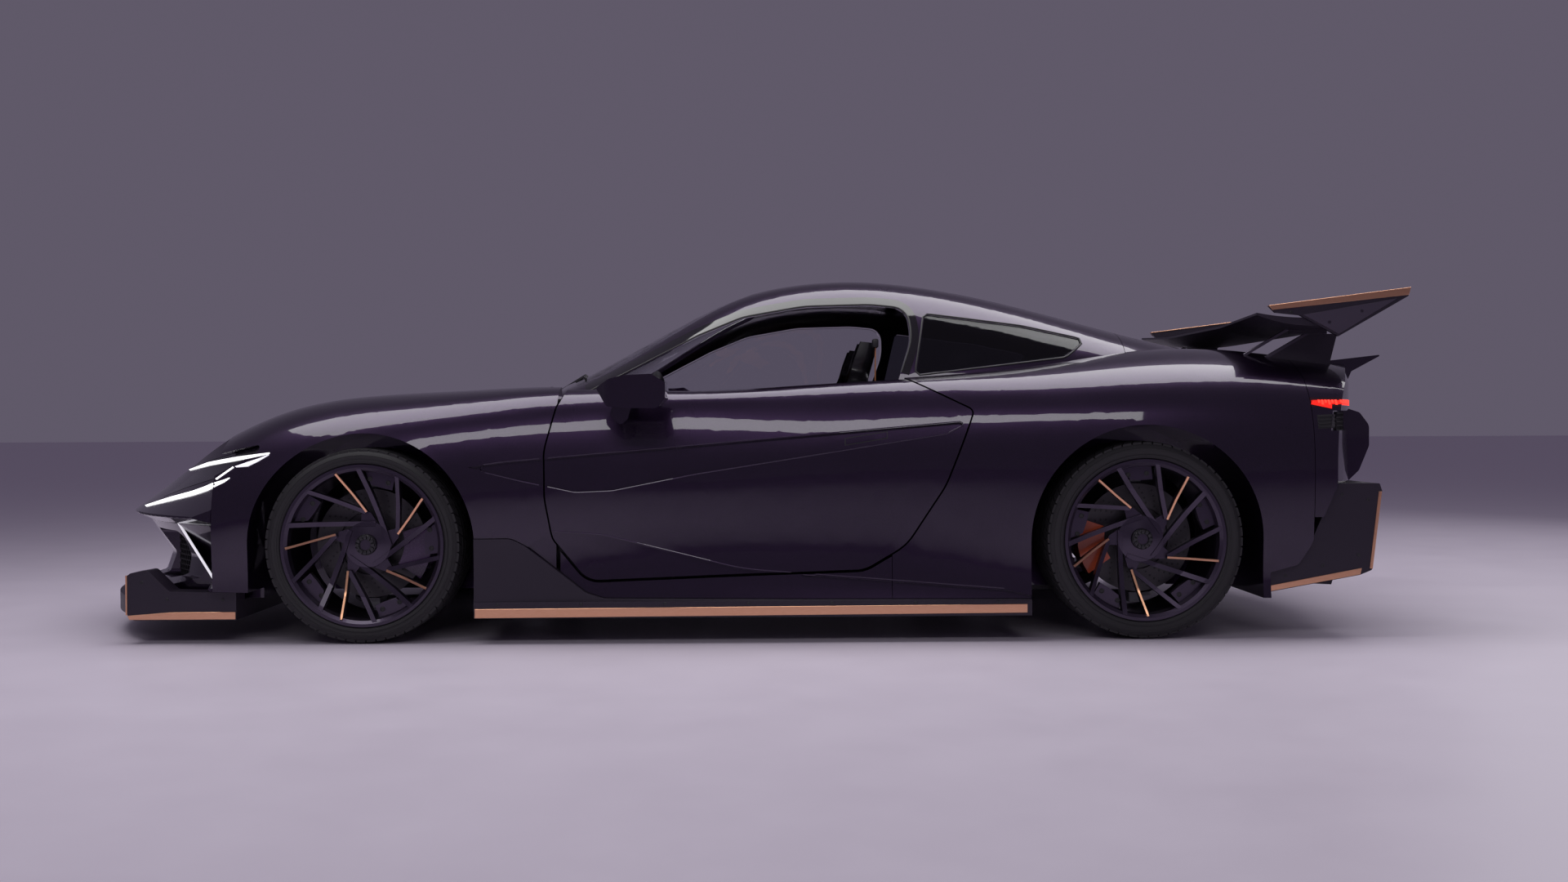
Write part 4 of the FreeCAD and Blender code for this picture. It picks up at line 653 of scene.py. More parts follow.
# %% Running a tree
def grown(piece, tree, **inputs):
    """Runs a tree on a piece and keeps what it makes as a plain mesh."""
    modifier = piece.modifiers.new(tree.name, "NODES")
    modifier.node_group = tree
    for item in tree.interface.items_tree:
        label = item.name.replace(" ", "_")
        if item.in_out == "INPUT" and label in inputs:
            modifier[item.identifier] = inputs[label]
    piece.update_tag()
    depsgraph = bpy.context.evaluated_depsgraph_get()
    mesh = bpy.data.meshes.new_from_object(piece.evaluated_get(depsgraph))
    piece.modifiers.remove(modifier)
    piece.data = mesh
    return piece


def copies_at(name, places, copy_of, material):
    """Copies of a small shape at (place, facing, along) triples. The shape's own +Z faces out
    and its own +X points along."""
    mesh = bpy.data.meshes.new(name)
    mesh.from_pydata([tuple(place) for place, _, _ in places], [], [])
    turns = mesh.attributes.new("turn", "FLOAT_VECTOR", "POINT")
    for index, (_, facing, along) in enumerate(places):
        up = Vector(facing).normalized()
        ahead = (Vector(along) - up * Vector(along).dot(up)).normalized()
        axes = Matrix((ahead, up.cross(ahead), up)).transposed()
        turns.data[index].vector = axes.to_euler()
    made = bpy.data.objects.new(name, mesh)
    bpy.context.collection.objects.link(made)
    grown(made, AT_POINTS, Copy_Of=copy_of, Material=material)
    bpy.data.objects.remove(copy_of)
    return made


print("ready to make copies")

# %% [markdown]
# ## Tyres
# A road tyre for a car like this is a low, wide casing with a rib that guards the rim and a
# directional tread: shoulder blocks and inner ribs, cut by slanted grooves. The casing is a
# turned profile. The tread is one pitch of blocks repeated round the casing by the ring tree,
# because a bump map would leave the outline of the tyre perfectly round.

# %% Where the wheels are
CORNERS = ("front_left", "front_right", "rear_left", "rear_right")
WHEEL_AT = {}
for corner in CORNERS:
    low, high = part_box("tyre_" + corner)
    WHEEL_AT[corner] = ((low + high) / 2, (high.z - low.z) / 2, (high.y - low.y) / 2)
    print(corner, [round(part, 3) for part in WHEEL_AT[corner][0]])


# %% The casing and one pitch of tread
TREAD_DEPTH = 0.0075
PITCHES = 60


def tyre_profile(radius, half):
    """(radius, outward) round a casing, from the outer bead over the tread to the inner."""
    outer = [(0.2805, half - 0.0165), (0.2945, half - 0.0165), (0.2965, half - 0.0100),
             (0.3010, half - 0.0050), (0.3040, half - 0.0040), (0.3052, half - 0.0010),
             (0.3092, half - 0.0004), (0.3105, half - 0.0034), (0.3150, half - 0.0022),
             (0.3215, half - 0.0010), (radius - 0.0270, half - 0.0022),
             (radius - 0.0262, half - 0.0010), (radius - 0.0242, half - 0.0014),
             (radius - 0.0235, half - 0.0040), (radius - 0.0150, half - 0.0082),
             (radius - 0.0105, half - 0.0135), (radius - 0.0090, half - 0.0200),
             (radius - TREAD_DEPTH, half - 0.0340)]
    return outer + [(r, -out) for r, out in reversed(outer)]


def tread_pitch(radius, half):
    """One pitch of blocks, about the wheel's centre: across the tread, each column is
    (inner edge, outer edge, share of the pitch that is rubber)."""
    scale = half / 0.1425
    columns = [(0.0030, 0.0370, 0.93), (0.0450, 0.0810, 0.90), (0.0890, 0.1310, 0.84)]
    step = 2 * math.pi / PITCHES
    points, faces = [], []
    for side in (-1, 1):
        for inner, outer, share in columns:
            first = len(points)
            for out in (inner * scale, outer * scale):
                lean = out / half * step * 1.5
                shoulder = 0.0035 if out > 0.12 * scale else 0.0
                for height, tuck in ((-0.0035, -0.03), (TREAD_DEPTH - 0.0008, 0.0),
                                     (TREAD_DEPTH, 0.05)):
                    reach = radius - TREAD_DEPTH + height - shoulder
                    for end in (tuck, share - tuck):
                        angle = lean + end * step
                        points.append((reach * math.cos(angle), side * out,
                                       reach * math.sin(angle)))
            quads = [(0, 1, 3, 2), (2, 3, 5, 4), (6, 8, 9, 7), (8, 10, 11, 9), (4, 5, 11, 10),
                     (0, 2, 8, 6), (2, 4, 10, 8), (1, 7, 9, 3), (3, 9, 11, 5), (0, 6, 7, 1)]
            faces += [[first + index for index in quad] for quad in quads]
    return solid_from("tread_pitch", points, faces)


# %% Four tyres
for corner, (centre, radius, half) in WHEEL_AT.items():
    casing = turned("casing_" + corner, tyre_profile(radius, half), centre, 144)
    tread = grown(tread_pitch(radius, half), RING, Count=PITCHES, Centre=centre,
                  Material=RUBBER)
    tyre = joined("tyre_with_tread_" + corner, [casing, tread])
    settle(tyre, "wheel_" + corner, RUBBER, 24)
    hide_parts("tyre_" + corner)
print("tyre faces:", len(tyre.data.polygons))

# %% [markdown]
# ## Wheel fittings
# Between the swept spokes stand five thin blades capped in copper, and each flat plate near
# the rim has two small round openings, drawn as black rings whose dark colour is painted shade.
# A single large nut with castle slots holds the wheel, and the discs behind it are
# cross-drilled, each drilling drawn as a black disc whose dark colour is painted shade. Each
# fitting is shaped once, laid on the rim's own skin, and repeated five or more times by the
# ring tree.


# %% Fitting helpers
def on_wheel(centre, radius, degrees, out=0.4):
    """A point beside the wheel at an angle seen from the left."""
    angle = math.radians(degrees)
    side = math.copysign(1, centre.y)
    return centre + Vector((radius * math.cos(angle), side * out, radius * math.sin(angle)))


def ring_of(name, piece, centre, count, body, material, sharp=32):
    """A piece repeated round the wheel's axis."""
    piece.data.transform(Matrix.Translation(-centre))
    piece.name = name
    grown(piece, RING, Count=count, Centre=centre, Material=material)
    return settle(piece, body, material, sharp)


def lying_on(name, skin, point, inward, outline, segments=14):
    """A small turned button on the skin: (radius, height) pairs from the rim inwards."""
    place, normal = touch(skin, point, inward)
    side = normal.orthogonal().normalized()
    other = normal.cross(side)
    points = []
    for step in range(segments):
        angle = 2 * math.pi * step / segments
        way = side * math.cos(angle) + other * math.sin(angle)
        points += [place + way * radius + normal * height for radius, height in outline]
    size = len(outline)
    faces = []
    for step in range(segments):
        a, b = step * size, (step + 1) % segments * size
        faces += [[a + edge, b + edge, b + edge + 1, a + edge + 1] for edge in range(size - 1)]
    faces.append([step * size for step in range(segments)])
    faces.append([step * size + size - 1 for step in range(segments)][::-1])
    return solid_from(name, points, faces)


# %% Blades, and black rings that paint the shade of the plates' small openings
SPOKES = 5
for corner, (centre, radius, half) in WHEEL_AT.items():
    body, side = "wheel_" + corner, math.copysign(1, centre.y)
    turn = 18 if corner.startswith("rear") else 0
    skin, inward = skin_of("rim_" + corner), Vector((0, -side, 0))
    inner, outer = (on_wheel(centre, radius, angle + turn)
                    for radius, angle in ((0.119, 18.3), (0.2765, 37.9)))
    landed = [touch(skin, inner.lerp(outer, step / 15), inward)[0] for step in range(16)]
    cap = swept("cap", landed, [-inward] * 16, [(-0.0046, -0.004), (-0.0046, 0.0010),
                                                (-0.0036, 0.0022), (0.0036, 0.0022),
                                                (0.0046, 0.0010), (0.0046, -0.004)])
    ring_of("copper_blades_" + corner, cap, centre, SPOKES, body, COPPER)
    # Two black dished rings on each plate stand for its small round openings: their dark colour
    # is painted shade.
    sockets = [lying_on("socket", skin, on_wheel(centre, 0.241, angle + turn), inward, [
        (0.0095, -0.001), (0.0095, 0.0016), (0.0086, 0.0022), (0.0064, 0.0022),
        (0.0056, 0.0006)]) for angle in (69, 85)]
    ring_of("plate_sockets_" + corner, joined("sockets", sockets), centre, SPOKES, body,
            BLACK)
print("wheel fittings laid on", len(WHEEL_AT), "rims")

# %% Centre nuts, and black discs that paint the shade inside the disc drillings
CASTLES = 12
for corner, (centre, radius, half) in WHEEL_AT.items():
    body, side = "wheel_" + corner, math.copysign(1, centre.y)
    hub, _ = touch(skin_of("rim_" + corner), centre + Vector((0, side * 0.4, 0)), (0, -side, 0))
    out = abs(hub.y - centre.y)
    nut = turned("nut", [(0.014, out - 0.012), (0.038, out - 0.012), (0.038, out - 0.006),
                         (0.035, out - 0.002), (0.030, out + 0.001), (0.019, out + 0.001),
                         (0.018, out - 0.002), (0.014, out - 0.002)], centre, 48)
    tooth = rounded_box("tooth", (centre.x + 0.0215, hub.y - 0.001, centre.z - 0.0052),
                        (centre.x + 0.0345, hub.y + side * 0.009, centre.z + 0.0052), 0.0012)
    if side < 0:
        bpy.data.objects.remove(tooth)
        tooth = rounded_box("tooth", (centre.x + 0.0215, hub.y - 0.009, centre.z - 0.0052),
                            (centre.x + 0.0345, hub.y + 0.001, centre.z + 0.0052), 0.0012)
    ring_of("castle_teeth_" + corner, tooth, centre, CASTLES, body, DARK_STEEL)
    settle(nut, body, DARK_STEEL)
    nut.name = "centre_nut_" + corner
    skin = skin_of("brake_disc_" + corner)
    # Each drilling is a thin black disc laid on the disc's face, not cut through: its dark colour
    # is painted shade.
    holes = [lying_on("hole", skin, on_wheel(centre, reach, angle, 0.3), (0, -side, 0), [
        (0.0042, -0.001), (0.0042, 0.0003), (0.0036, 0.0004)], 8)
             for reach, angle in ((0.132, 0), (0.149, 4), (0.166, 8), (0.183, 12))]
    ring_of("drillings_" + corner, joined("holes", holes), centre, 24, body,
            BLACK)
print("nuts with", CASTLES, "teeth, discs with", 24 * 4, "drillings")

# %% [markdown]
# ## Copper edging
# Thin copper blades mark the lowest edges of the car: the splitter, the skirts, the dark boxes
# at the rear corners and the fences of the wing. Real ones are anodised extrusions bonded on,
# so each is a separate flat strip with softened edges, not a painted line, which would have
# no edge to catch the light.

# %% A flat strip
def plate(name, outline, y_from, y_to, soften=0.0007):
    """A flat piece with an outline in x and z, between two distances from the middle."""
    shape = bmesh.new()
    face = shape.faces.new([shape.verts.new((x, y_from, z)) for x, z in outline])
    pushed = bmesh.ops.extrude_face_region(shape, geom=[face])
    moved = [item for item in pushed["geom"] if isinstance(item, bmesh.types.BMVert)]
    bmesh.ops.translate(shape, verts=moved, vec=(0, y_to - y_from, 0))
    bmesh.ops.bevel(shape, geom=shape.edges, offset=soften, segments=1, affect="EDGES")
    bmesh.ops.recalc_face_normals(shape, faces=shape.faces)
    mesh = bpy.data.meshes.new(name)
    shape.to_mesh(mesh)
    shape.free()
    made = bpy.data.objects.new(name, mesh)
    bpy.context.collection.objects.link(made)
    return made


# %% Strips on both sides
EDGING = {
    "copper_skirt_strips": [
        (((-0.941, 0.0935), (1.042, 0.1025), (1.042, 0.1335), (-0.941, 0.1255)),
         -0.9985, -1.0028)],
    "copper_splitter_strips": [
        (((-2.196, 0.0870), (-1.8145, 0.0870), (-1.8145, 0.1140), (-2.050, 0.1135),
          (-2.203, 0.1020)), -0.9385, -0.9428),
        (((-2.2090, 0.104), (-2.2035, 0.104), (-2.2035, 0.247), (-2.2090, 0.247)),
         -0.8600, -0.9428)],
    "copper_tail_corner_strips": [
        (((1.9270, 0.1705), (2.2560, 0.2300), (2.2620, 0.2530), (1.9290, 0.1915)),
         -0.9665, -0.9708),
        (((2.2905, 0.2520), (2.3010, 0.2500), (2.3345, 0.5300), (2.3235, 0.5300)),
         -0.9665, -0.9708)],
    "copper_wing_strips": [
        (((1.9575, 1.2095), (2.4805, 1.2745), (2.4735, 1.2495), (1.9690, 1.1955)),
         -0.8690, -0.8728),
        (((1.9575, 1.2085), (2.4805, 1.2735), (2.4810, 1.2775), (1.9575, 1.2125)),
         -0.8505, -0.8728)],
}
for name, strips in EDGING.items():
    pieces = [plate("strip", *strip) for strip in strips]
    both_sides(name, joined(name + "_left", pieces), "car", COPPER)

# %% Paler faces of the wing, and struts in a pale tone that paints their highlight
# A pale satin violet: on the fence faces it is a paler tone, and on the struts it is painted
# highlight.
PALE_AERO_AND_HIGHLIGHT = grained("pale_satin_violet", (0.070, 0.055, 0.085), (0.095, 0.078, 0.112),
                    (0.34, 0.44), 500, 0.00005, Metallic=0.4)
both_sides("wing_fence_faces", plate("face", ((2.0830, 1.1775), (2.2140, 1.1065),
                                              (2.4300, 1.2365)), -0.8690, -0.8722),
           "car", PALE_AERO_AND_HIGHLIGHT)
# The struts are swept in a pale tone along the supports' bright bevel lines: that tone is painted
# highlight.
stays = []
for ends in (((1.918, 1.036), (2.098, 1.142)), ((1.989, 1.020), (2.160, 1.119))):
    start, end = (Vector((x, -0.700, z)) for x, z in ends)
    path = resampled([start, end], 6)
    stays.append(swept("stay", path, [Vector((0, 0, 1))] * 6, [
        (-0.0070, -0.0045), (-0.0070, 0.0045), (-0.0045, 0.0065), (0.0045, 0.0065),
        (0.0070, 0.0045), (0.0070, -0.0045)]))
both_sides("wing_stay_edges", joined("stays", stays), "car", PALE_AERO_AND_HIGHLIGHT)
print("edging:", ", ".join(EDGING))

# %% [markdown]
# ## Lamps
# The daytime lamps are two white light guides drawn like brush strokes over black glass, tied
# by a hair-thin line, with a bright bar down the front corner below them. The tail lamp is a
# row of short red guides behind one long dark glass. The strokes are laid on the lamp's own
# skin along lines of sight, so they keep their drawn shape from the side.

# %% Strokes seen from the side
EYE = Vector(CAMERA_PLACE)


def sighted(points, distance=0.72):
    """Points drawn on an upright plane at a distance from the middle of the car."""
    return [Vector((x, -distance, z)) for x, z in points]


def along_sight(point):
    """The line of sight from the camera's eye to a point."""
    return point - EYE


LAMP_STROKES = [
    # upper line, lower line
    (((-2.0582, 0.6215), (-1.9869, 0.6545), (-1.8786, 0.6762), (-1.7560, 0.6862)),
     ((-2.0560, 0.6185), (-1.9672, 0.6333), (-1.8737, 0.6478), (-1.7600, 0.6765))),
    (((-1.8885, 0.6335), (-1.8440, 0.6520), (-1.7990, 0.6640), (-1.7610, 0.6765)),
     ((-1.8810, 0.6285), (-1.8368, 0.6285), (-1.7990, 0.6490), (-1.7600, 0.6745))),
    (((-1.8945, 0.6325), (-1.9610, 0.5865)), ((-1.8910, 0.6285), (-1.9560, 0.5830))),
    (((-2.2250, 0.4890), (-2.1340, 0.5240), (-2.0460, 0.5490), (-1.9670, 0.5800),
      (-1.9080, 0.5915)),
     ((-2.2200, 0.4835), (-2.1250, 0.4995), (-2.0460, 0.5165), (-1.9870, 0.5340),
      (-1.9260, 0.5690), (-1.9070, 0.5880))),
]
lamp_skin = skin_of("headlamps", "front_bumper", "front_fenders", "bonnet")
STROKE_SHARES = (0.46, 0.62, 0.80, 0.46)           # how much of each drawn width is lit
strokes = []
for (upper, lower), share in zip(LAMP_STROKES, STROKE_SHARES):
    pairs = list(zip(resampled(sighted(upper), 40), resampled(sighted(lower), 40)))
    strokes.append(draped("stroke", [low.lerp(high, 0.5 + share / 2) for high, low in pairs],
                          [low.lerp(high, 0.5 - share / 2) for high, low in pairs], lamp_skin,
                          along_sight, 0.0035, 40, 4))
lobe = strokes.pop(1)
both_sides("daytime_lobes", lobe, "car", PALE_LIGHT)
both_sides("daytime_lamps", joined("strokes", strokes), "car", WHITE_LIGHT)
print("lamp strokes:", len(LAMP_STROKES), "a side")

# %% Blades and bright bars at the front corners
TOP, FOOT = Vector((-2.072, -0.803, 0.426)), Vector((-1.894, -0.884, 0.191))
THICK = Vector((0.0064, 0, 0.0048))
quad = [TOP, FOOT, Vector((FOOT.x, -0.70, FOOT.z)), Vector((TOP.x, -0.70, TOP.z))]
blade = solid_from("blade", quad + [corner + THICK for corner in quad],
                   [(0, 1, 2, 3), (4, 5, 6, 7), (0, 1, 5, 4), (1, 2, 6, 5), (2, 3, 7, 6),
                    (3, 0, 4, 7)])
both_sides("front_corner_blades", blade, "car", PAINT)
path = resampled([TOP + THICK * 0.5, FOOT + THICK * 0.5], 12)
bar = swept("bar", path, [Vector((0, -1, 0))] * 12, [(-0.0042, -0.002), (-0.0042, 0.0016),
                                                    (-0.0030, 0.0028), (0.0030, 0.0028),
                                                    (0.0042, 0.0016), (0.0042, -0.002)])
both_sides("corner_light_bars", bar, "car", PALE_LIGHT)

# %% Tail lamp
TAIL_MIDDLE = Vector((1.60, 0, 0))
SEGMENT_PITCH = 0.0135


def round_the_tail(skin, z, low, high, count):
    """Points on the tail's skin at one height, between two headings in degrees."""
    found = []
    for step in range(count):
        angle = math.radians(low + (high - low) * step / (count - 1))
        way = Vector((math.cos(angle), -math.sin(angle), 0))
        start = TAIL_MIDDLE + way * 1.3 + Vector((0, 0, z))
        found.append(touch(skin, start, -way))
    return found


tail_skin = skin_of("tail_lamp")
dense = round_the_tail(tail_skin, 0.855, -61.5, 61.5, 400)
places, travelled = [], 0.0
for (before, _), (after, normal) in zip(dense, dense[1:]):
    travelled += (after - before).length
    if travelled >= SEGMENT_PITCH:
        travelled -= SEGMENT_PITCH
        places.append((after, normal, Vector((0, 0, 1))))
tall = rounded_box("segment", (-0.0110, -0.0046, -0.003), (0.0095, 0.0046, 0.0014), 0.0010)
short = rounded_box("segment", (-0.0035, -0.0046, -0.003), (0.0095, 0.0046, 0.0014), 0.0010)
segments = joined("tail_lamp_segments", [
    copies_at("tall", places[::2], tall, RED_LIGHT),
    copies_at("short", places[1::2], short, RED_LIGHT)])
settle(segments, "car", RED_LIGHT)
glow = round_the_tail(tail_skin, 0.8545, -63.5, 63.5, 260)
band = swept("tail_lamp_band", [spot for spot, _ in glow], [normal for _, normal in glow],
             [(-0.0085, -0.0015), (-0.0085, 0.0009), (0.0085, 0.0009), (0.0085, -0.0015)])
settle(band, "car", RED_GLOW)
print("tail lamp segments:", len(places))

# %% [markdown]
# ## Mesh in the openings
# Air passes through the mouth, the corner intakes and the vents at the tail, so each carries
# a mesh of six-sided cells, as pressed or moulded grilles do. One cell is shaped once and set
# at staggered points over a curved wall. A texture with holes would look flat from the side.

# %% One cell and a curved field of them
def hex_cell(pitch, wall, depth):
    """A six-sided ring that shares its walls with its neighbours."""
    points, faces = [], []
    for height in (-depth / 2, depth / 2):
        for radius in (pitch / math.sqrt(3) + wall / 2, pitch / math.sqrt(3) - wall / 2):
            for step in range(6):
                angle = math.radians(30 + 60 * step)
                points.append((radius * math.cos(angle), radius * math.sin(angle), height))
    for step in range(6):
        nxt = (step + 1) % 6
        faces += [(step, nxt, 12 + nxt, 12 + step), (6 + step, 18 + step, 18 + nxt, 6 + nxt),
                  (step, 6 + step, 6 + nxt, nxt), (12 + step, 12 + nxt, 18 + nxt, 18 + step)]
    return solid_from("cell", points, faces)


def mesh_field(name, centre_x, radius, heading, half_width, low, high, pitch, slot):
    """Cells over a wall curved about an upright axis. Heading is 0 to the rear and 180 to
    the nose; half_width is measured along the wall either side of it."""
    across, up = pitch, pitch * math.sqrt(3) / 2
    places = []
    for row in range(int((high - low) / up) + 1):
        for column in range(int(2 * half_width / across) + 1):
            run = -half_width + across * (column + (0.5 if row % 2 else 0.0))
            if run > half_width:
                continue
            angle = math.radians(heading) + run / radius
            way = Vector((math.cos(angle), math.sin(angle), 0))
            place = Vector((centre_x, 0, low + up * row)) + way * radius
            places.append((place, way, Vector((-way.y, way.x, 0))))
    cells = copies_at(name, places, hex_cell(pitch, 0.0030, 0.005), BLACK)
    if slot:
        settle(cells, "car", BLACK)
    return cells


mesh_field("mouth_mesh", -1.267, 1.0465, 180, 0.422, 0.181, 0.386, 0.030, "black_mesh")
both_sides("corner_intake_mesh", mesh_field("left", -1.267, 1.0465, 216.2, 0.086, 0.229, 0.382,
                                            0.022, None), "car", BLACK)
both_sides("tail_vent_mesh", mesh_field("left", 0.579, 1.8525, -26.5, 0.108, 0.761, 0.816,
                                        0.018, None), "car", BLACK)
louvre_skin = skin_of("rear_bumper", "rear_quarters")
louvre = [draped("panel", [(2.098, -1.2, 0.808), (2.178, -1.2, 0.812)],
                 [(2.098, -1.2, 0.758), (2.178, -1.2, 0.762)], louvre_skin, (0, 1, 0), 0.0008,
                 24, 5)]
for step in range(4):
    low = 0.762 + 0.0125 * step
    louvre.append(draped("slat", [(2.100, -1.2, low + 0.004), (2.176, -1.2, low + 0.008)],
                         [(2.100, -1.2, low), (2.176, -1.2, low + 0.004)], louvre_skin,
                         (0, 1, 0), 0.0030, 24, 2))
both_sides("tail_side_louvres", joined("louvres", louvre), "car", BLACK)
print("mesh fields: 5, louvres: 2")

# %% [markdown]
# ## Window surrounds
# The side windows sit in a black gloss surround with a rubber lip at the glass. Both follow
# the opening's outline, so the outline is drawn again here with its corners rounded, and the
# band is laid on the outer skin of the roof.

# %% Rounded outlines
def rounded_line(corners, step=0.012, loop=False):
    """A line through corners in x and z, rounded by each corner's radius, in even steps."""
    found = []
    last = len(corners) - 1
    for index, (x, z, radius) in enumerate(corners):
        here = Vector((x, 0, z))
        if not loop and index in (0, last):
            found.append(here)
            continue
        before = Vector((corners[index - 1][0], 0, corners[index - 1][1]))
        after = Vector((corners[(index + 1) % len(corners)][0], 0,
                        corners[(index + 1) % len(corners)][1]))
        back, ahead = (before - here).normalized(), (after - here).normalized()
        half = back.angle(ahead) / 2
        reach = radius / math.tan(half) if radius else 0.0
        start, end = here + back * reach, here + ahead * reach
        middle = here + (back + ahead).normalized() * (radius / math.sin(half))
        for part in range(9):
            arm = start.lerp(end, part / 8) - middle
            found.append(middle + arm.normalized() * radius if radius else here)
    length = sum((b - a).length for a, b in zip(found, found[1:]))
    return resampled(found, max(8, int(length / step)), loop)


def moved_out(line, distance, loop=False):
    """The same line moved sideways, to the left of its run as seen from the left."""
    count, found = len(line), []
    for index, place in enumerate(line):
        ahead = line[(index + 1) % count] if loop or index < count - 1 else place
        behind = line[index - 1] if loop or index else place
        along = (ahead - behind).normalized()
        found.append(place + Vector((-along.z, 0, along.x)) * distance)
    return found


DOOR_OPENING = [(-0.565, 0.902, 0), (-0.315, 1.032, 0.06), (-0.150, 1.117, 0.15),
                (0.020, 1.186, 0.26), (0.250, 1.226, 0.50), (0.500, 1.232, 0.40),
                (0.640, 1.218, 0.062), (0.650, 1.100, 0.20), (0.606, 0.975, 0)]
QUARTER_OPENING = [(0.664, 0.966, 0.012), (0.708, 1.196, 0.016), (1.080, 1.150, 0.30),
                   (1.322, 1.098, 0.012), (1.236, 1.034, 0.04)]


def from_left(line, skin, proud):
    """Points of a line laid on the skin as seen square from the left."""
    found = []
    for place in line:
        spot, normal = touch(skin, Vector((place.x, -1.2, place.z)), (0, 1, 0))
        found.append((spot + normal * proud, normal))
    return found


# %% Surrounds and seals
roof_skin = skin_of("roof_frame")
opening = rounded_line(DOOR_OPENING)
surround = draped("surround", [p + Vector((0, -1.2, 0)) for p in moved_out(opening, 0.003)],
                  [p + Vector((0, -1.2, 0)) for p in moved_out(opening, 0.034)], roof_skin,
                  (0, 1, 0), 0.0012, 120, 4)
both_sides("door_window_surrounds", surround, "car", GLOSS_BLACK)
seals = []
for corners, loop in ((DOOR_OPENING, False), (QUARTER_OPENING, True)):
    laid = from_left(moved_out(rounded_line(corners, 0.012, loop), 0.0045, loop), roof_skin,
                     0.0008)
    path, ups = [spot for spot, _ in laid], [normal for _, normal in laid]
    seals.append(swept("seal", path, ups, [(-0.0032, -0.002), (-0.0032, 0.0010),
                                           (0, 0.0024), (0.0032, 0.0010),
                                           (0.0032, -0.002)], loop))
both_sides("window_seals", joined("seals", seals), "car", BLACK)
print("window surrounds laid on the roof")

# %% Edges of the hollows in the flank
HOLLOW_LINE = [(-0.965, 0.633, 0.010), (-0.833, 0.650, 0.20), (-0.200, 0.703, 2.0),
               (0.805, 0.788, 0.006), (0.822, 0.780, 0.004), (0.761, 0.749, 0.04),
               (0.287, 0.675, 2.0), (-0.156, 0.606, 0.60), (-0.451, 0.548, 0.16),
               (-0.584, 0.543, 0.12), (-0.775, 0.585, 0.30)]
CREASE_LINE = [(-0.670, 0.400, 0), (-0.490, 0.387, 0.30), (0.017, 0.260, 0.90),
               (0.960, 0.186, 0)]
door_only = skin_of("door_left")
flank_skin = skin_of("door_left", "front_fenders", "rear_quarters", "sill_panels")
RIB = [(-0.0022, -0.001), (-0.0016, 0.0007), (0, 0.0013), (0.0016, 0.0007), (0.0022, -0.001)]


def rib_runs(laid):
    """Splits a line where it passes from the door to the car, clear of the shut line."""
    owners = [door_only.find_nearest(spot)[3] < 0.0012 for spot, _ in laid]
    runs, run = [], []
    for index, place in enumerate(laid):
        near = owners[max(index - 1, 0):index + 2]
        if all(near) or not any(near):
            run.append((place, owners[index]))
        if run and (index == len(laid) - 1 or not (all(near) or not any(near))):
            if len(run) > 3:
                runs.append(run)
            run = []
    return runs


ribs = {True: [], False: []}
for corners, loop, out in ((HOLLOW_LINE, True, 0.0028), (CREASE_LINE, False, 0.0028)):
    line = moved_out(rounded_line(corners, 0.010, loop), out, loop)
    for run in rib_runs(from_left(line, flank_skin, 0.0)):
        ribs[run[0][1]].append(swept("rib", [spot for (spot, _), _ in run],
                                     [normal for (_, normal), _ in run], RIB))
both_sides("flank_edges", joined("edges", ribs[False]), "car", PAINT)
door_edges = joined("door_edges_left", ribs[True])
for piece, body in ((other_side("door_edges_right", door_edges), "door_right"),
                    (door_edges, "door_left")):
    settle(piece, body, PAINT)
print("edge runs:", {owner: len(found) for owner, found in ribs.items()})

# %% [markdown]
# ## Small outer fittings
# Mirror glasses, flush door handles, wipers, tailpipe tips, a blank number plate and the
# socket screws that hold the dark panels. None of them changes the car's shape, but a panel
# without fasteners reads as a toy.

# %% Mirrors and door handles
glass = rounded_box("mirror_glass_left", (-0.2462, -1.150, 0.8815), (-0.2436, -1.000, 0.9275),
                    0.0009)
glass_right = other_side("mirror_glass_right", glass)
door_skin = skin_of("door_left")
# The black strip round each pull is painted shade: it stands for the dark recess round a flush
# handle.
gap = draped("gap", [(0.390, -1.1, 0.7045), (0.546, -1.1, 0.7295)],
             [(0.390, -1.1, 0.7315), (0.546, -1.1, 0.7565)], door_skin, (0, 1, 0), 0.0004, 24)
pull = draped("pull", [(0.3935, -1.1, 0.7080), (0.5425, -1.1, 0.7325)],
              [(0.3935, -1.1, 0.7285), (0.5425, -1.1, 0.7530)], door_skin, (0, 1, 0), 0.0022,
              24)
gap_right, pull_right = other_side("gap_right", gap), other_side("pull_right", pull)
for piece, label, material, slot in (
        (glass, "mirror_glass_left", MIRROR_GLASS, "clear_glass"),
        (glass_right, "mirror_glass_right", MIRROR_GLASS, "clear_glass"),
        (gap, "handle_gap_left", BLACK, "gloss_paint"),
        (gap_right, "handle_gap_right", BLACK, "gloss_paint"),
        (pull, "door_handle_left", PAINT, "gloss_paint"),
        (pull_right, "door_handle_right", PAINT, "gloss_paint")):
    piece.name = label
    settle(piece, "door_" + label.rsplit("_", 1)[1], material)

# %% Wipers
screen_skin, cowl_skin = skin_of("windscreen"), skin_of("cowl_panel")


def nearest_on(skin, point):
    """The nearest place on a skin, with its upward side."""
    spot, normal, _, _ = skin.find_nearest(point)
    return spot, normal if normal.z > 0 else -normal


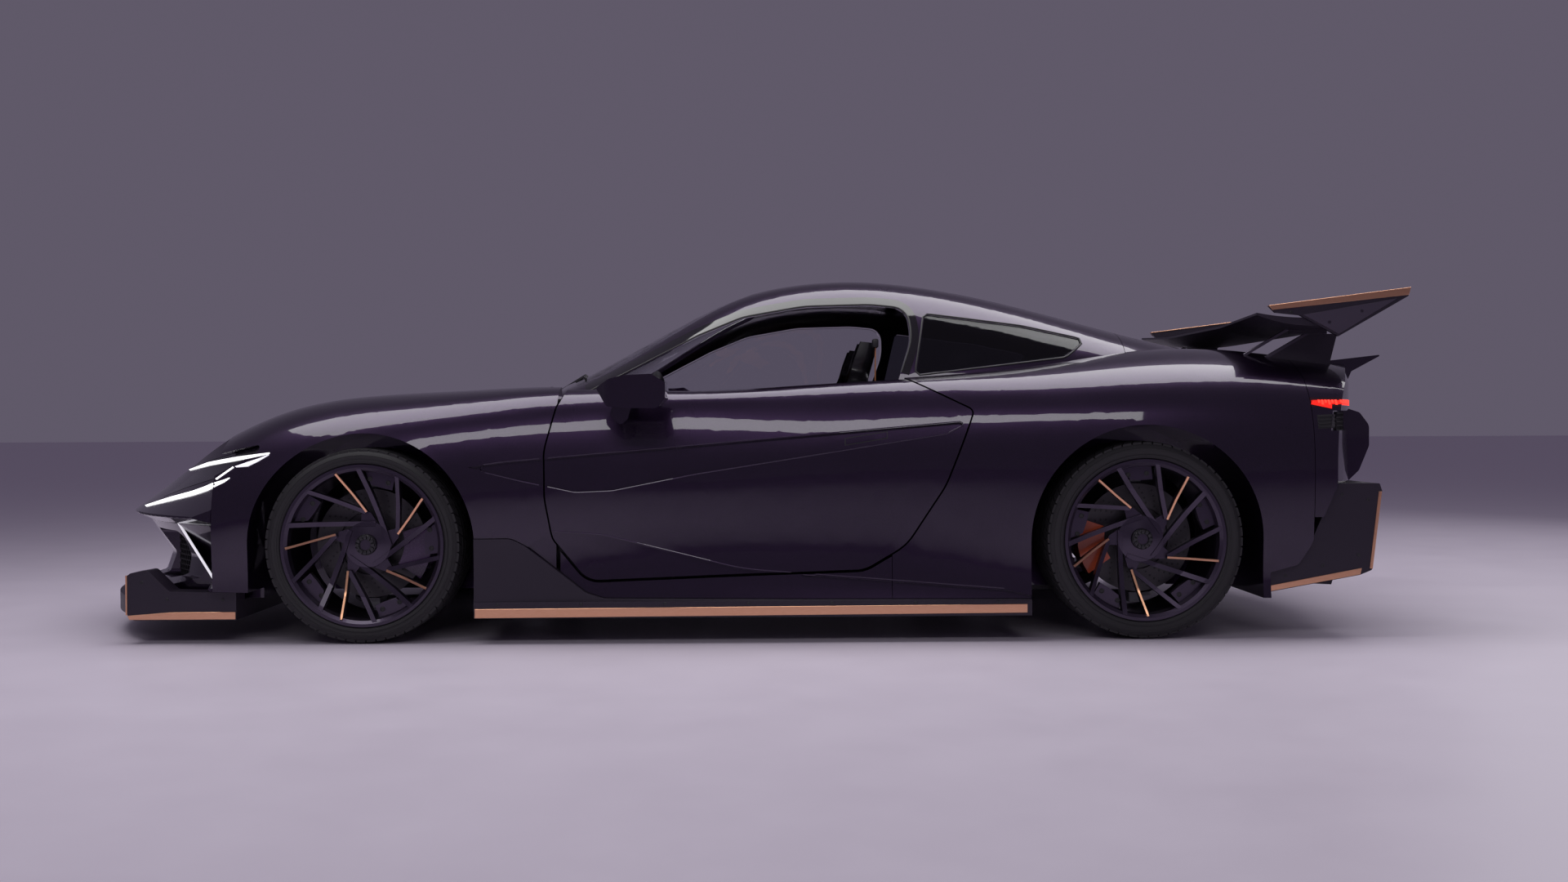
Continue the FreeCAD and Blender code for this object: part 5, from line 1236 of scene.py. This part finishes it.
wipers = []
for start, end, pivot in (((-0.594, -0.550, 0.96), (-0.640, -0.030, 0.98),
                           (-0.712, -0.060, 0.955)),
                          ((-0.640, 0.030, 0.98), (-0.594, 0.550, 0.96),
                           (-0.690, 0.400, 0.945))):
    laid = [nearest_on(screen_skin, point) for point in resampled([start, end], 24)]
    blade_path = [spot + normal * 0.0045 for spot, normal in laid]
    wipers.append(swept("blade", blade_path, [normal for _, normal in laid], [
        (-0.004, 0.000), (-0.0015, 0.008), (0.0015, 0.008), (0.004, 0.000),
        (0.0012, -0.0042), (-0.0012, -0.0042)]))
    foot, up = nearest_on(cowl_skin, Vector(pivot))
    tip = blade_path[12] + laid[12][1] * 0.009
    wipers.append(swept("arm", resampled([foot + up * 0.010, tip], 12), [up] * 12, [
        (-0.006, -0.002), (-0.005, 0.003), (0.005, 0.003), (0.006, -0.002)]))
    post = turned("post", [(0.0, -0.004), (0.011, -0.004), (0.011, 0.010), (0.008, 0.014),
                           (0.0, 0.014)], foot, 24, False)
    wipers.append(tilted(post, foot, up))
settle(joined("wipers", wipers), "car", BLACK)
print("wipers: 2, handles: 2, mirror glasses: 2")

# %% Tailpipe tips, number plate and screws
def turned_about_x(name, profile, centre, segments=48):
    """A closed (radius, x) profile turned about an axis that runs along the car."""
    points, size = [], len(profile)
    for step in range(segments):
        angle = 2 * math.pi * step / segments
        points += [centre + Vector((x, radius * math.cos(angle), radius * math.sin(angle)))
                   for radius, x in profile]
    return solid_from(name, points, ring_faces(segments, size, size))


tips = []
for y in (-0.210, 0.210):
    tips.append(turned_about_x("tip", [(0.0435, -0.050), (0.0500, -0.050), (0.0525, -0.004),
                                       (0.0525, 0.002), (0.0505, 0.005), (0.0455, 0.005),
                                       (0.0435, 0.001)], Vector((2.385, y, 0.500))))
settle(joined("tailpipe_tips", tips), "car", COPPER)
number_plate = rounded_box("blank_number_plate", (2.2295, -0.260, 0.305), (2.2340, 0.260, 0.415),
                           0.0012)
settle(number_plate, "car", grained("blank_plate_white", (0.50, 0.50, 0.52),
                                                  (0.56, 0.56, 0.58), (0.30, 0.42), 60))


def socket_screw():
    """A low round head with a six-sided socket."""
    points, faces = [], []
    rings = [(0.0062, -0.001, 24), (0.0062, 0.0012, 24), (0.0050, 0.0022, 24),
             (0.0028, 0.0022, 6), (0.0028, 0.0004, 6)]
    for radius, height, corners in rings:
        for step in range(24):
            angle = 2 * math.pi * (step // (24 // corners)) / corners
            points.append((radius * math.cos(angle), radius * math.sin(angle), height))
    for ring in range(len(rings) - 1):
        for step in range(24):
            nxt = (step + 1) % 24
            faces.append([24 * ring + step, 24 * ring + nxt, 24 * ring + 24 + nxt,
                          24 * ring + 24 + step])
    faces += [list(range(24))[::-1], list(range(96, 120))]
    return solid_from("screw", points, faces)


SCREWS = [
    # distance from the middle, places in x and z
    (1.0000, [(-0.86 + 0.30 * step, 0.141) for step in range(7)]),
    (0.9400, [(-2.150, 0.222), (-2.060, 0.160), (-1.860, 0.158)]),
    (0.9680, [(1.985, 0.226), (2.120, 0.262), (2.250, 0.300), (2.285, 0.500), (2.190, 0.520)]),
    (0.8700, [(2.040, 1.187), (2.180, 1.150), (2.300, 1.190)]),
]
places = [(Vector((x, -distance, z)), Vector((0, -1, 0)), Vector((1, 0, 0)))
          for distance, spots in SCREWS for x, z in spots]
both_sides("panel_screws", copies_at("left", places, socket_screw(), DARK_STEEL), "car",
           DARK_STEEL)
print("screws:", 2 * len(places))

# %% [markdown]
# ## Seats
# Each seat is a thin moulded bucket with leather pads laid in it. The bucket is described
# once, by a line along its back and a line along its rim, and every pad, seam and belt is
# placed from that description. The pads swell in a short cloth simulation, because a real pad
# is crowned and pulls in at its sides. The two large cushions also swell through the bucket's
# wall and stand about 2 mm out of its back, which is a fault that was found too late to mend.
# The right-hand seat mirrors the left.

# %% The bucket's own coordinates
SEAT_Y = -0.380
#          back line         rim line          half the width
STATIONS = [(-0.322, 0.322, -0.3270, 0.388, 0.232), (-0.240, 0.298, -0.2400, 0.388, 0.240),
            (-0.090, 0.278, -0.0900, 0.366, 0.242), (0.060, 0.264, 0.0500, 0.348, 0.242),
            (0.170, 0.260, 0.1350, 0.346, 0.242), (0.262, 0.305, 0.2100, 0.390, 0.242),
            (0.320, 0.420, 0.2580, 0.482, 0.242), (0.372, 0.540, 0.2980, 0.572, 0.242),
            (0.414, 0.650, 0.3320, 0.668, 0.242), (0.456, 0.780, 0.3700, 0.795, 0.240),
            (0.486, 0.880, 0.4040, 0.893, 0.232), (0.500, 0.932, 0.4220, 0.945, 0.196),
            (0.512, 0.972, 0.4380, 0.985, 0.114), (0.530, 1.035, 0.4560, 1.045, 0.110),
            (0.546, 1.098, 0.4780, 1.105, 0.100)]


def eased(rows, at):
    """A value between rows of numbers, on a smooth curve through them."""
    at = min(max(at, 0.0), len(rows) - 1.001)
    first = int(at)
    t = at - first
    a, b, c, d = (rows[min(max(first + step, 0), len(rows) - 1)] for step in (-1, 0, 1, 2))
    return [0.5 * (2 * q + (r - p) * t + (2 * p - 5 * q + 4 * r - s) * t * t
                   + (3 * q - p - 3 * r + s) * t ** 3) for p, q, r, s in zip(a, b, c, d)]


def in_seat(at, across, height):
    """A point by its station, its distance from the middle and its height over the bucket's
    outer face, so what lies on the inner face starts one wall higher."""
    back_x, back_z, rim_x, rim_z, _ = eased(STATIONS, at)
    out = Vector((rim_x - back_x, 0, rim_z - back_z)).normalized()
    return Vector((back_x, SEAT_Y + across, back_z)) + out * height


def rim_height(at):
    """How far the rim stands over the bucket's outer face at a station."""
    back_x, back_z, rim_x, rim_z, _ = eased(STATIONS, at)
    return math.hypot(rim_x - back_x, rim_z - back_z)


# %% Bucket and rails
def bucket(count=90, wall=0.005):
    """A channel swept along the seat, with a rolled edge."""
    points, faces, size = [], [], 0
    for step in range(count):
        at = step / (count - 1) * (len(STATIONS) - 1)
        half, rim = eased(STATIONS, at)[4], rim_height(at)
        side = [(half, rim), (half + 0.001, 0.55 * rim), (half - 0.004, 0.28 * rim),
                (half - 0.016, 0.10 * rim), (half - 0.036, 0.0), (0.5 * half, 0.0)]
        inner = [(0.5 * half, wall), (half - 0.038, wall), (half - 0.020, 0.12 * rim + wall),
                 (half - 0.009, 0.30 * rim + wall), (half - wall, 0.56 * rim),
                 (half - wall - 0.001, rim), (half - 0.002, rim + 0.0025)]
        ring = side + [(0.0, 0.0)] + [(-u, v) for u, v in side[::-1]]
        ring += [(-u, v) for u, v in inner[::-1]] + [(0.0, wall)] + inner
        size = len(ring)
        points += [in_seat(at, u, v) for u, v in ring]
    for step in range(count - 1):
        a, b = step * size, (step + 1) * size
        faces += [[a + k, a + (k + 1) % size, b + (k + 1) % size, b + k] for k in range(size)]
    # each end is closed in strips across the channel
    for start in (0, (count - 1) * size):
        for k in range(size // 2):
            faces.append([start + k, start + (k + 1) % size, start + (size - 2 - k) % size,
                          start + (size - 1 - k) % size])
    return solid_from("bucket", points, faces)


shell = bucket()
rails = [rounded_box("rail", (-0.200, SEAT_Y + y - 0.020, 0.1545), (0.060, SEAT_Y + y + 0.020,
                                                                     0.272), 0.003)
         for y in (-0.140, 0.140)]
rails.append(rounded_box("bar", (-0.190, SEAT_Y - 0.130, 0.180), (-0.150, SEAT_Y + 0.130, 0.215),
                         0.003))
shell_right, rails_left = other_side("seat_bucket_right", shell), joined("rails", rails)
shell.name = "seat_bucket_left"
for piece in (shell, shell_right):
    settle(piece, "car", CARBON)
    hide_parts("front_seats")
both_sides("seat_rails", rails_left, "car", DARK_STEEL)
print("buckets:", len(shell.data.polygons), "faces each")

# %% Pads that swell
def pad(name, start, end, middle, half, low, high, grip=4.0, rows=56, around=36):
    """A closed pad between two stations, square in section with soft corners."""
    points, faces = [], []
    for step in range(rows):
        t = -1 + 2 * step / (rows - 1)
        shrink = max(1 - abs(t) ** 7, 0.0) ** (1 / 7)
        at = start + (end - start) * (0.5 + 0.5 * t)
        for turn in range(around):
            angle = 2 * math.pi * turn / around
            c, s = math.cos(angle), math.sin(angle)
            u = math.copysign(abs(c) ** (2 / grip), c) * half * shrink
            v = math.copysign(abs(s) ** (2 / grip), s) * 0.5 * (high - low) * (
                0.35 + 0.65 * shrink if shrink else 0.0)
            points.append(in_seat(at, middle + u, 0.5 * (low + high) + v))
    for step in range(rows - 1):
        a, b = step * around, (step + 1) * around
        faces += [[a + k, a + (k + 1) % around, b + (k + 1) % around, b + k]
                  for k in range(around)]
    return solid_from(name, points, faces)


def fixed(piece):
    """The piece's mesh with its modifiers worked in."""
    graph = bpy.context.evaluated_depsgraph_get()
    mesh = bpy.data.meshes.new_from_object(piece.evaluated_get(graph))
    piece.modifiers.clear()
    piece.data = mesh
    return mesh


def puffed(piece, voxel, cap):
    """Swells a pad. The move of each point is limited, so the pad keeps to its space."""
    remesh = piece.modifiers.new("remesh", "REMESH")
    remesh.mode, remesh.voxel_size = "VOXEL", voxel
    rest = [vertex.co.copy() for vertex in fixed(piece).vertices]
    cloth = piece.modifiers.new("swell", "CLOTH")
    cloth.settings.quality = 4
    cloth.settings.use_pressure = True
    cloth.settings.uniform_pressure_force = 4.0
    cloth.settings.effector_weights.gravity = 0
    cloth.point_cache.frame_start, cloth.point_cache.frame_end = 1, 20
    for step in range(1, 21):
        bpy.context.scene.frame_set(step)
    swollen = fixed(piece)
    for vertex, start in zip(swollen.vertices, rest):
        move = vertex.co - start
        vertex.co = start + move * min(1.0, cap / max(move.length, 1e-9))
    bpy.context.scene.frame_set(1)
    smooth = piece.modifiers.new("smooth", "SUBSURF")
    smooth.levels = smooth.render_levels = 1
    fixed(piece)
    return piece


def sewn(piece, channels, depth=0.005, width=0.0045):
    """Presses sewn channels into the upper face of a pad, across the seat."""
    marks = []
    for at in channels:
        here, ahead = in_seat(at, 0, 0), in_seat(at + 0.05, 0, 0)
        marks.append((here, (ahead - here).normalized(),
                      (in_seat(at, 0, 0.05) - here).normalized()))
    for vertex in piece.data.vertices:
        for here, along, out in marks:
            away = vertex.co - here
            off = away.dot(along)
            if abs(off) < 0.02 and away.dot(out) > 0.022 and (away.x ** 2 + away.z ** 2) < 0.02:
                vertex.co -= out * depth * math.exp(-(off / width) ** 2)


PADS = {
    "seat_cushion": (0.35, 4.9, 0.0, 0.146, 0.008, 0.043, 0.010, (1.2, 2.1, 3.0, 3.9)),
    "back_cushion": (5.5, 9.6, 0.0, 0.144, 0.008, 0.040, 0.010, (6.3, 7.1, 7.9, 8.7)),
    "head_cushion": (12.35, 13.6, 0.0, 0.076, 0.008, 0.040, 0.008, ()),
}
ROLLS = {"seat_roll": (0.45, 4.8, 0.063), "back_roll": (5.6, 9.5, 0.066)}
pads_left = {}
for name, (start, end, middle, half, low, high, cap, channels) in PADS.items():
    made = puffed(pad(name, start, end, middle, half, low, high), 0.006, cap)
    sewn(made, channels)
    pads_left[name] = made
for name, (start, end, high) in ROLLS.items():
    pair = [pad(name, start, end, side * 0.193, 0.034, 0.009, high, 2.8) for side in (-1, 1)]
    pads_left[name + "s"] = puffed(joined(name, pair), 0.006, 0.006)
print({name: len(made.data.polygons) for name, made in pads_left.items()})

# %% Seams round the pads
def seam_round(made, start, end, middle, half, height, count=110):
    """A thin piping that follows the side of a pad."""
    tree = BVHTree.FromPolygons([vertex.co for vertex in made.data.vertices],
                                [list(face.vertices) for face in made.data.polygons])
    path, ups = [], []
    for step in range(count):
        angle = 2 * math.pi * step / count
        c, s = math.cos(angle), math.sin(angle)
        u = math.copysign(abs(c) ** 0.35, c) * (half + 0.006)
        t = math.copysign(abs(s) ** 0.35, s)
        outside = in_seat(start + (end - start) * (0.5 + 0.5 * t), middle + u, height)
        spot, normal, _, _ = tree.find_nearest(outside)
        path.append(spot)
        ups.append(normal)
    path = [(path[k - 1] + path[k] * 2 + path[(k + 1) % count]) / 4 for k in range(count)]
    ring = [(0.0020 * math.cos(math.radians(60 * k)), 0.0008 + 0.0020 * math.sin(
        math.radians(60 * k))) for k in range(6)]
    return swept("seam", path, ups, ring, True)


seams = [seam_round(pads_left[name], start, end, middle, half, 0.75 * high)
         for name, (start, end, middle, half, low, high, cap, channels) in PADS.items()]
for name, (start, end, high) in ROLLS.items():
    seams += [seam_round(pads_left[name + "s"], start, end, side * 0.193, 0.034, 0.75 * high)
              for side in (-1, 1)]
both_sides("seat_seams", joined("seams", seams), "car", THREAD)
for name, made in pads_left.items():
    right = other_side(name + "_right", made)
    made.name = name + "_left"
    for piece in (made, right):
        settle(piece, "car", LEATHER, 180)
        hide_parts("front_seats")
print("pads:", 2 * len(pads_left), "seams:", 2 * len(seams))

# %% [markdown]
# ## Belts
# Orange belts show in the open window. Webbing is flat, so each belt is swept as a thin strap
# along the seat: two shoulder straps, two lower straps, a lap strap in two halves and a buckle
# between them. They hang as if somebody wore them, 4 to 5 cm off the pads at the buckle, and
# their ends aren't fastened to the seat. A plain belt runs down each pillar into its reel.

# %% Straps and buckles
WEB_WIDE, WEB_THICK = 0.048, 0.0016


def flat_section(wide=WEB_WIDE, thick=WEB_THICK):
    """The outline of webbing, to be swept along a path."""
    half = wide / 2
    return [(-half, 0), (half, 0), (half, thick), (-half, thick)]


def strap(name, route, wide=WEB_WIDE, thick=WEB_THICK, count=70):
    """A flat strap along smooth points, flat against the seat behind it."""
    path = [Vector(eased(route, step / (count - 1) * (len(route) - 1)))
            for step in range(count)]
    ups = []
    for index in range(count):
        along = (path[min(index + 1, count - 1)] - path[max(index - 1, 0)]).normalized()
        ups.append(along.cross(Vector((0, 1, 0))).normalized())
    return swept(name, path, ups, flat_section(wide, thick))


def seat_route(points):
    """The places of (station, across, height) rows on the seat."""
    return [tuple(in_seat(at, across, height)) for at, across, height in points]


straps = []
for side in (-1, 1):
    straps.append(strap("shoulder", seat_route([
        (10.6, side * 0.072, 0.010), (10.2, side * 0.072, 0.046), (9.7, side * 0.074, 0.066),
        (8.9, side * 0.078, 0.068), (7.9, side * 0.080, 0.070), (6.9, side * 0.076, 0.074),
        (6.1, side * 0.060, 0.080), (5.2, side * 0.040, 0.088)])))
    straps.append(strap("tail", seat_route([
        (5.0, side * 0.030, 0.086), (4.4, side * 0.050, 0.072), (3.9, side * 0.090, 0.066),
        (3.4, side * 0.110, 0.063)]), 0.040))
for side in (-1, 1):
    path = [Vector(eased(seat_route([(4.75, side * 0.018, 0.088), (4.6, side * 0.075, 0.078),
                                     (4.55, side * 0.130, 0.080), (4.6, side * 0.190, 0.088),
                                     (4.7, side * 0.226, 0.083)]), step / 39 * 4))
            for step in range(40)]
    ups = [(in_seat(4.6, 0, 1) - in_seat(4.6, 0, 0)).normalized()] * 40
    straps.append(swept("lap", path, ups, flat_section()))
pillar = [Vector((0.523, -0.640, 1.088)), Vector((0.521, -0.640, 0.860)),
          Vector((0.522, -0.640, 0.620))]
straps.append(swept("pillar", resampled(pillar, 20), [Vector((1, 0, 0))] * 20,
                    flat_section(0.045, 0.0018)))
both_sides("harness_belts", joined("belts", straps), "car", WEBBING)
hub = in_seat(4.9, 0, 0.094)
out = (in_seat(4.9, 0, 1) - in_seat(4.9, 0, 0)).normalized()
buckle = turned("buckle", [(0.0, -0.010), (0.030, -0.010), (0.034, -0.006), (0.034, 0.004),
                           (0.030, 0.008), (0.014, 0.008), (0.012, 0.011), (0.0, 0.011)],
                hub, 40, False)
both_sides("harness_buckles", tilted(buckle, hub, out), "car", DARK_STEEL)
anchors = [rounded_box("guide", (0.512, -0.669, 1.072), (0.534, -0.611, 1.106), 0.006),
           rounded_box("reel", (0.500, -0.668, 0.580), (0.545, -0.612, 0.640), 0.006)]
both_sides("belt_guides", joined("guides", anchors), "car", BLACK)
print("straps:", 2 * len(straps))

# %% [markdown]
# ## Cockpit
# The cabin shows through clear glass and an open window, so it has what a driver touches and
# sees: a grip and thumb pads on the wheel, a hooded display, vents, a middle screen, a console
# with a selector, and pedals. In the record only the steering wheel turns.

# %% Steering wheel grip
STEER_AT, STEER_AXIS = Vector((-0.270, -0.380, 0.810)), Vector((0.137, 0, 0.046)).normalized()
STEER_UP = STEER_AXIS.cross(Vector((0, -1, 0))).normalized()


def on_rim(angle, radius=0.180, out=0.0):
    """A point round the steering wheel. Zero is the driver's right and 90 the top."""
    a = math.radians(angle)
    return STEER_AT + (Vector((0, 1, 0)) * math.cos(a) + STEER_UP * math.sin(a)) * radius \
        + STEER_AXIS * out


def round_section(radius):
    """A round outline with twelve corners, to be swept along a path."""
    return [(radius * math.cos(math.radians(30 * k)), radius * math.sin(math.radians(30 * k)))
            for k in range(12)]


grips = []
for low, high in ((-42, 42), (138, 222)):
    path = [on_rim(low + (high - low) * step / 40) for step in range(41)]
    grips.append(swept("grip", path, [STEER_AXIS] * 41, round_section(0.0168)))
grip = joined("steering_grips", grips)
settle(grip, "steering_wheel", LEATHER)
marker = swept("steering_top_mark", [on_rim(90 + step) for step in range(-4, 5)],
               [STEER_AXIS] * 9, round_section(0.0164))
settle(marker, "steering_wheel", WEBBING)
buttons = []
for side in (0, 180):
    for step, radius in ((-9, 0.105), (9, 0.105), (0, 0.128)):
        place = on_rim(side + step, radius, 0.0065)
        button = turned("button", [(0.0, -0.003), (0.0062, -0.003), (0.0062, 0.002),
                                   (0.0050, 0.0032), (0.0, 0.0032)], place, 20, False)
        buttons.append(tilted(button, place, STEER_AXIS))
settle(joined("steering_buttons", buttons), "steering_wheel", COPPER)

# %% Dashboard fittings, console and pedals
fittings = [rounded_box("binnacle", (-0.500, -0.540, 0.845), (-0.395, -0.220, 0.905), 0.010),
            rounded_box("middle_bezel", (-0.395, -0.110, 0.735), (-0.352, 0.110, 0.862), 0.006)]
vents = []
for y in (-0.600, -0.170, 0.170, 0.600):
    fittings.append(rounded_box("vent", (-0.392, y - 0.048, 0.752), (-0.364, y + 0.048, 0.800),
                                0.004))
    vents += [rounded_box("slat", (-0.366, y - 0.042, z), (-0.360, y + 0.042, z + 0.003),
                          0.0008) for z in (0.760, 0.770, 0.780, 0.790)]
settle(joined("dash_fittings", fittings), "car", BLACK)
settle(joined("vent_slats", vents), "car", COPPER)
glow = [rounded_box("cluster", (-0.3965, -0.520, 0.852), (-0.3935, -0.240, 0.898), 0.001),
        rounded_box("screen", (-0.3535, -0.100, 0.745), (-0.3500, 0.100, 0.852), 0.001)]
settle(joined("screens", glow), "car", SCREEN)
console = [rounded_box("tunnel", (-0.560, -0.105, 0.1545), (0.420, 0.105, 0.420), 0.020),
           rounded_box("arm_rest", (0.080, -0.085, 0.420), (0.400, 0.085, 0.462), 0.018),
           rounded_box("selector_base", (-0.250, -0.060, 0.418), (-0.090, 0.060, 0.430), 0.004)]
settle(joined("centre_console", console), "car", TRIM_FLOCK)
selector = [rounded_box("stem", (-0.176, -0.010, 0.428), (-0.156, 0.010, 0.500), 0.004),
            rounded_box("knob", (-0.190, -0.022, 0.498), (-0.142, 0.022, 0.532), 0.012)]
settle(joined("gear_selector", selector), "car", COPPER)
pedals = []
for y, wide in ((-0.300, 0.048), (-0.400, 0.070)):
    pedals.append(rounded_box("pad", (-0.812, y - wide / 2, 0.250), (-0.800, y + wide / 2, 0.350),
                              0.003))
    pedals.append(rounded_box("arm", (-0.835, y - 0.008, 0.300), (-0.812, y + 0.008, 0.520),
                              0.003))
settle(joined("pedals", pedals), "car", STEEL)
print("cockpit fitted")

# %% [markdown]
# ## Stage and close
# The floor is wide and pale.

# %% Floor
def studio_floor():
    """A wide pale floor just under the tyres. It is part of the stage, not of the car."""
    mesh = bpy.data.meshes.new("studio_floor")
    half, drop = 60.0, 0.002
    mesh.from_pydata([(-half, -half, -drop), (half, -half, -drop), (half, half, -drop),
                      (-half, half, -drop)], [], [(0, 1, 2, 3)])
    floor = bpy.data.objects.new("studio_floor", mesh)
    bpy.context.collection.objects.link(floor)
    mesh.materials.append(grained("pale_floor", (0.66, 0.59, 0.70), (0.72, 0.65, 0.76),
                                  (0.34, 0.46), 3))


studio_floor()
